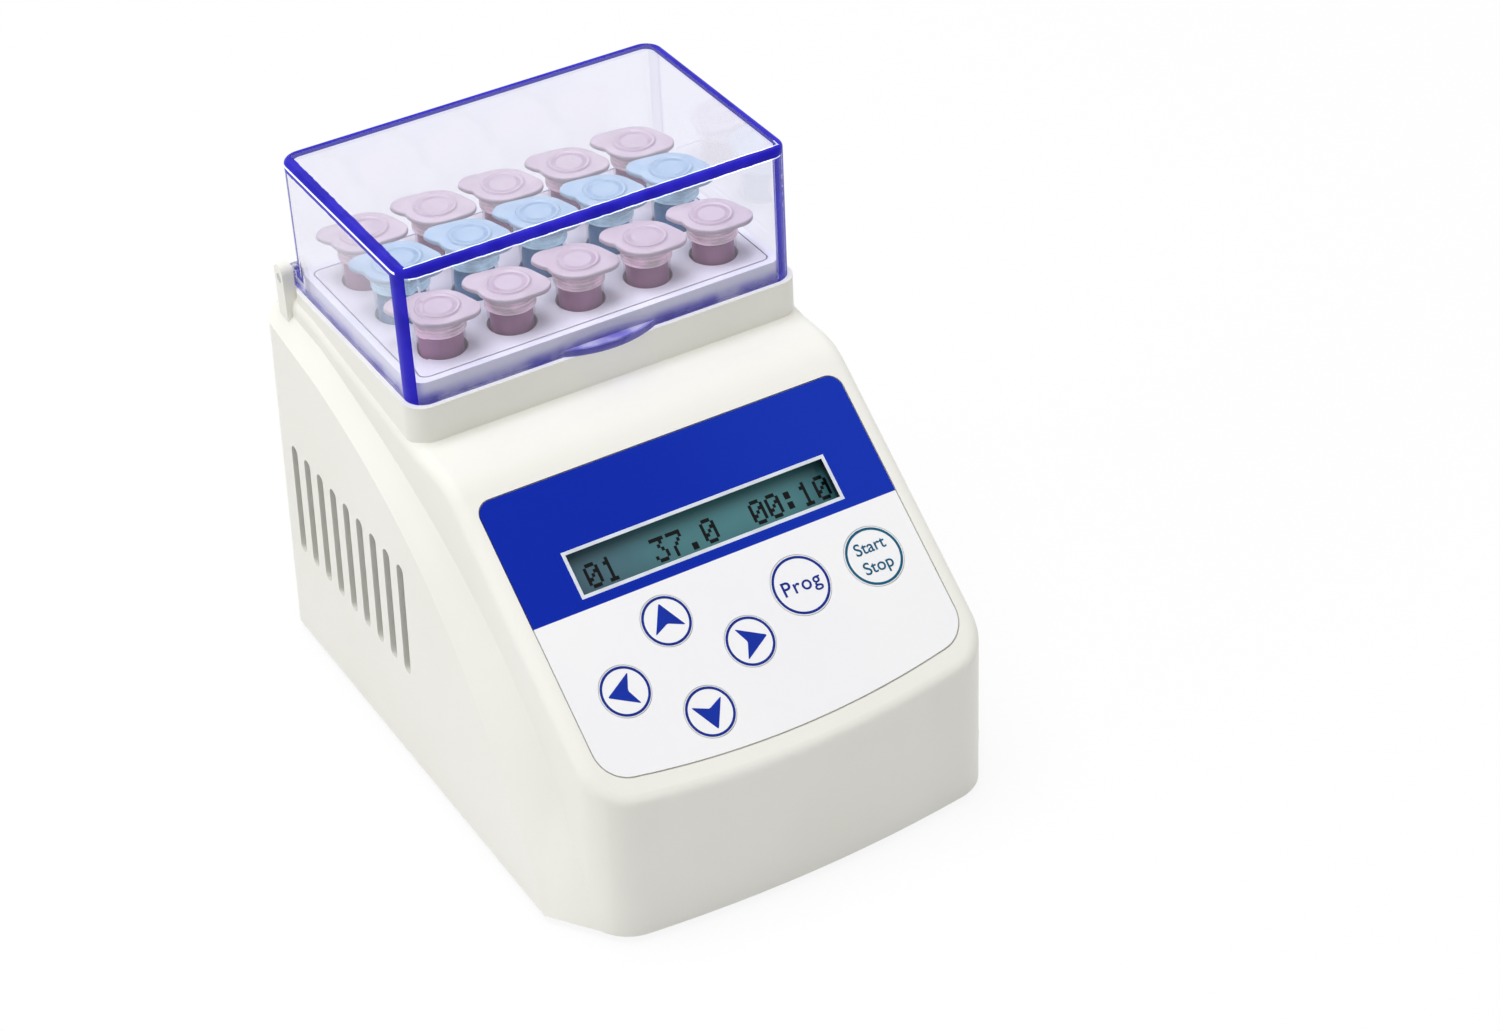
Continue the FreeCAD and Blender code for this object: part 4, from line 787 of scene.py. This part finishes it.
inks = {
    "ringBlue": printMaterial("ringBlue", prints["blue"]),
    "arrowBlue": printMaterial("arrowBlue", prints["arrowBlue"]),
    "ringTeal": printMaterial("ringTeal", prints["teal"]),
    "borderWhite": printMaterial("borderWhite", prints["border"]),
    "displayInk": printMaterial("displayInk", prints["ink"], 0.3),
}


def keyMiddle(node):
    # the key's middle across and up the panel, and its radius
    low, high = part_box(node)
    radius = (high.x - low.x) / 2
    up = (high.z - radius * math.sin(slope) - panelTop.z) / math.sin(slope)
    return (low.x + high.x) / 2, up, radius


def raiseSelected(thick):
    bpy.ops.mesh.extrude_region_move(TRANSFORM_OT_translate={"value": (0, 0, thick)})


def emptiedInset(width):
    # the selected face becomes a frame of that width
    bpy.ops.mesh.inset(thickness=width, depth=0)
    bpy.ops.mesh.delete(type="FACE")
    bpy.ops.mesh.select_all(action="SELECT")


def ringPrint(node, material):
    across, up, radius = keyMiddle(node)
    clearSelection()
    outer = radius * prints["ringScale"]
    bpy.ops.mesh.primitive_circle_add(vertices=120, radius=outer, fill_type="NGON")
    piece = begin(node.replace("key", "ring"))
    emptiedInset(prints["ringWidth"] * mm)
    raiseSelected(panel["print"] * mm)
    settle(close(piece), panelPlace @ Matrix.Translation((across, up, 0)))
    return finishPiece(piece, material, node)


arrow = {"tip": (0.0, 4.15), "foot": (3.65, -2.25), "notch": (-0.1, -0.62), "round": 0.4}
arrowTurns = {"key_up": 0, "key_left": 90, "key_down": 180, "key_right": -90}


def arrowPrint(node, turn):
    # a notched arrowhead with rounded corners
    across, up = keyMiddle(node)[:2]
    clearSelection()
    bpy.ops.mesh.primitive_circle_add(vertices=4, radius=mm, fill_type="NGON")
    piece = begin(node.replace("key", "arrow"))
    bpy.ops.object.mode_set(mode="OBJECT")
    footX, footY = arrow["foot"]
    corners = [arrow["tip"], (-footX, footY), arrow["notch"], (footX, footY)]
    order = sorted(piece.data.vertices, key=lambda vertex: math.atan2(-vertex.co.x, vertex.co.y) % 6.28)
    for vertex, (x, y) in zip(order, corners):
        vertex.co = (x * mm, y * mm, 0)
    bpy.ops.object.mode_set(mode="EDIT")
    bpy.ops.mesh.select_all(action="SELECT")
    bpy.ops.mesh.bevel(offset=arrow["round"] * mm, segments=4, affect="VERTICES")
    bpy.ops.mesh.select_all(action="SELECT")
    raiseSelected(panel["print"] * mm)
    place = Matrix.Translation((across, up, 0)) @ Matrix.Rotation(math.radians(turn), 4, "Z")
    settle(close(piece), panelPlace @ place)
    return finishPiece(piece, inks["arrowBlue"], node)


def wordPrint(name, words, node, width, shift, material, spacing=1.0):
    across, up = keyMiddle(node)[:2]
    clearSelection()
    bpy.ops.object.text_add()
    text = bpy.context.object
    text.data.body = words
    text.data.align_x = "CENTER"
    text.data.align_y = "CENTER"
    text.data.space_character = spacing
    text.data.offset = prints["wordWeight"]
    bpy.ops.object.convert(target="MESH")
    piece = bpy.context.object
    piece.name = piece.data.name = name
    scale = width * mm / piece.dimensions.x
    modifier = piece.modifiers.new("thickness", "SOLIDIFY")
    modifier.thickness = panel["print"] * mm / scale
    modifier.offset = 1.0
    bpy.ops.object.modifier_apply(modifier=modifier.name)
    place = Matrix.Translation((across, up + shift * mm, 0)) @ Matrix.Scale(scale, 4)
    settle(piece, panelPlace @ place)
    return finishPiece(piece, material, node)


for key, turn in arrowTurns.items():
    ringPrint(key, inks["ringBlue"])
    arrowPrint(key, turn)
ringPrint("key_program", inks["ringBlue"])
ringPrint("key_start", inks["ringTeal"])
wordPrint("word_program", "Prog", "key_program", 9.3, 0.0, inks["ringBlue"], 1.1)
wordPrint("word_start", "Start", "key_start", 7.6, 2.3, inks["ringTeal"])
wordPrint("word_stop", "Stop", "key_start", 7.2, -2.3, inks["ringTeal"])


# The window's white border, and the film's blue between it and the opening's edge

border = {"wide": 65.4, "high": 11.1, "line": 0.8, "shift": 0.4, "margin": 0.9, "step": 0.1}


def framePrint(name, outer, inner, shift):
    # a thin frame on the film: its opening is moved across by shift
    clearSelection()
    bpy.ops.mesh.primitive_plane_add(size=1.0)
    piece = begin(name)
    wide, high = (side * mm for side in outer)
    bpy.ops.transform.resize(value=(wide, high, 1), center_override=(0, 0, 0))
    step = border["step"] * mm
    bpy.ops.mesh.inset(thickness=step, depth=0)
    scale = (inner[0] * mm / (wide - 2 * step), inner[1] * mm / (high - 2 * step), 1)
    bpy.ops.transform.resize(value=scale, center_override=(0, 0, 0))
    bpy.ops.transform.translate(value=(shift * mm, 0, 0))
    bpy.ops.mesh.delete(type="FACE")
    bpy.ops.mesh.select_all(action="SELECT")
    raiseSelected(panel["print"] * mm)
    return settle(close(piece))


def windowBorder():
    down = Matrix.Translation((0, -window["down"] * mm, 0))
    whole = (border["wide"], border["high"])
    clear = [side - 2 * border["line"] for side in whole]
    cover = [window[side] + 2 * border["margin"] for side in ("width", "height")]
    line = framePrint("window_border", whole, clear, 0)
    settle(line, panelPlace @ down @ Matrix.Translation((border["shift"] * mm, 0, 0)))
    finishPiece(line, inks["borderWhite"], "case")
    blue = framePrint("window_margin", cover, whole, border["shift"])
    settle(blue, panelPlace @ down)
    finishPiece(blue, materials["overlay_film"], "case")


windowBorder()

# Characters of five by seven dots, sixteen to the window's width

shownLine = " 01  37.0  00:10"
dotRows = {
    "0": (" ### ", "#   #", "#  ##", "# # #", "##  #", "#   #", " ### "),
    "1": ("  #  ", " ##  ", "  #  ", "  #  ", "  #  ", "  #  ", " ### "),
    "3": ("#####", "   # ", "  #  ", "   # ", "    #", "#   #", " ### "),
    "7": ("#####", "    #", "   # ", "  #  ", " #   ", " #   ", " #   "),
    ".": ("     ", "     ", "     ", "     ", "     ", " ##  ", " ##  "),
    ":": ("     ", " ##  ", " ##  ", "     ", " ##  ", " ##  ", "     "),
}
dots = {"height": 5.6, "middle": 22.6, "fill": 1.04, "thick": 0.04, "columns": 6, "rows": 7}


def glassDepth():
    # how far the display's glass lies below the film's face
    low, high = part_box("display_glass")
    deep, tall = high.y - low.y, high.z - low.z
    thick = (tall * math.cos(slope) - deep * math.sin(slope)) / math.cos(2 * slope)
    middle = panelPlace.inverted() @ ((low + high) / 2)
    return middle.z + thick / 2


def displayCharacters():
    # one column in each cell stays empty, as the gap to the next character
    cell = window["width"] * mm / len(shownLine)
    stepX, stepY = cell / dots["columns"], dots["height"] * mm / dots["rows"]
    middleRow = dots["rows"] // 2
    clearSelection()
    bpy.ops.mesh.primitive_plane_add(size=1.0)
    model = begin("dotModel")
    size = (stepX * dots["fill"], stepY * dots["fill"], 1)
    bpy.ops.transform.resize(value=size, center_override=(0, 0, 0))
    raiseSelected(dots["thick"] * mm)
    settle(close(model))
    copies = []
    for index, letter in enumerate(shownLine):
        for row, line in enumerate(dotRows.get(letter, ())):
            for column, mark in enumerate(line):
                if mark == "#":
                    x = -window["width"] * mm / 2 + index * cell + (column + 1) * stepX
                    y = -dots["middle"] * mm + (middleRow - row) * stepY
                    copies.append(settle(copyOf(model, "dot"), Matrix.Translation((x, y, 0))))
    bpy.data.objects.remove(model)
    piece = joined(copies, "display_characters")
    settle(piece, panelPlace @ Matrix.Translation((0, 0, glassDepth())))
    return finishPiece(piece, inks["displayInk"], "case")


displayCharacters()
print("panel prints done")

# Camera, lamps, floor and backdrop

cameraPlace = {
    "at": (-0.2736, -0.5378, 0.4856), "turn": (54.17, 2.18, -31.03), "lens": 79.25, "sensor": 36.0,
}


def placeCamera():
    data = bpy.data.cameras.new("camera")
    data.lens = cameraPlace["lens"]
    data.sensor_width = cameraPlace["sensor"]
    camera = bpy.data.objects.new("camera", data)
    camera.location = cameraPlace["at"]
    camera.rotation_euler = [math.radians(angle) for angle in cameraPlace["turn"]]
    bpy.context.scene.collection.objects.link(camera)
    bpy.context.scene.camera = camera


lamps = {
    "overhead": {"at": (-0.3, 0.1, 1.7), "size": 1.2, "power": 20.0},
    "left": {"at": (-1.6, 0.3, 0.8), "size": 1.0, "power": 4.5},
    "right": {"at": (1.6, -0.7, 0.6), "size": 1.2, "power": 2.6},
}
lampTarget = Vector((0, 0, 0.06))


def placeLamps():
    for name, lamp in lamps.items():
        data = bpy.data.lights.new(name, "AREA")
        data.size = lamp["size"]
        data.energy = lamp["power"]
        item = bpy.data.objects.new(name, data)
        item.location = lamp["at"]
        item.rotation_euler = (lampTarget - item.location).to_track_quat("-Z", "Y").to_euler()
        item.visible_glossy = False  # no mirrored lamp in the lid's flat top
        bpy.context.scene.collection.objects.link(item)


stage = {
    "skyLevel": 0.42, "floorSize": 8.0, "floorColour": 0.72, "floorRoughness": 0.9, "floorGlow": 0.86,
    "glowLevel": 1.04,
}


def placeStage():
    world = bpy.data.worlds.new("studio")
    world.use_nodes = True
    bpy.context.scene.world = world
    tree = world.node_tree
    sky = next(node for node in tree.nodes if node.type == "BACKGROUND")
    sky.inputs["Color"].default_value = (1, 1, 1, 1)
    level = maths(tree, "MULTIPLY_ADD", seenDirectly(tree), 1 - stage["skyLevel"], stage["skyLevel"])
    tree.links.new(level, sky.inputs["Strength"])
    clearSelection()
    bpy.ops.mesh.primitive_plane_add(size=stage["floorSize"])
    floor = bpy.context.object
    floor.name = "floor"
    material, tree, shader = newMaterial("floor")
    grey = stage["floorColour"]
    shader.inputs["Base Color"].default_value = (grey, grey, grey, 1)
    shader.inputs["Roughness"].default_value = stage["floorRoughness"]
    shader.inputs["Specular IOR Level"].default_value = 0.0
    glow = tree.nodes.new("ShaderNodeEmission")
    glow.inputs["Strength"].default_value = stage["glowLevel"]
    seen = maths(tree, "MULTIPLY", seenDirectly(tree), stage["floorGlow"])
    tree.links.new(mixShader(tree, seen, shader.outputs[0], glow.outputs[0]), outputOf(tree))
    floor.data.materials.append(material)


placeCamera()
placeLamps()
placeStage()
bpy.context.scene.view_settings.view_transform = "Standard"
print("camera, lamps and floor placed")
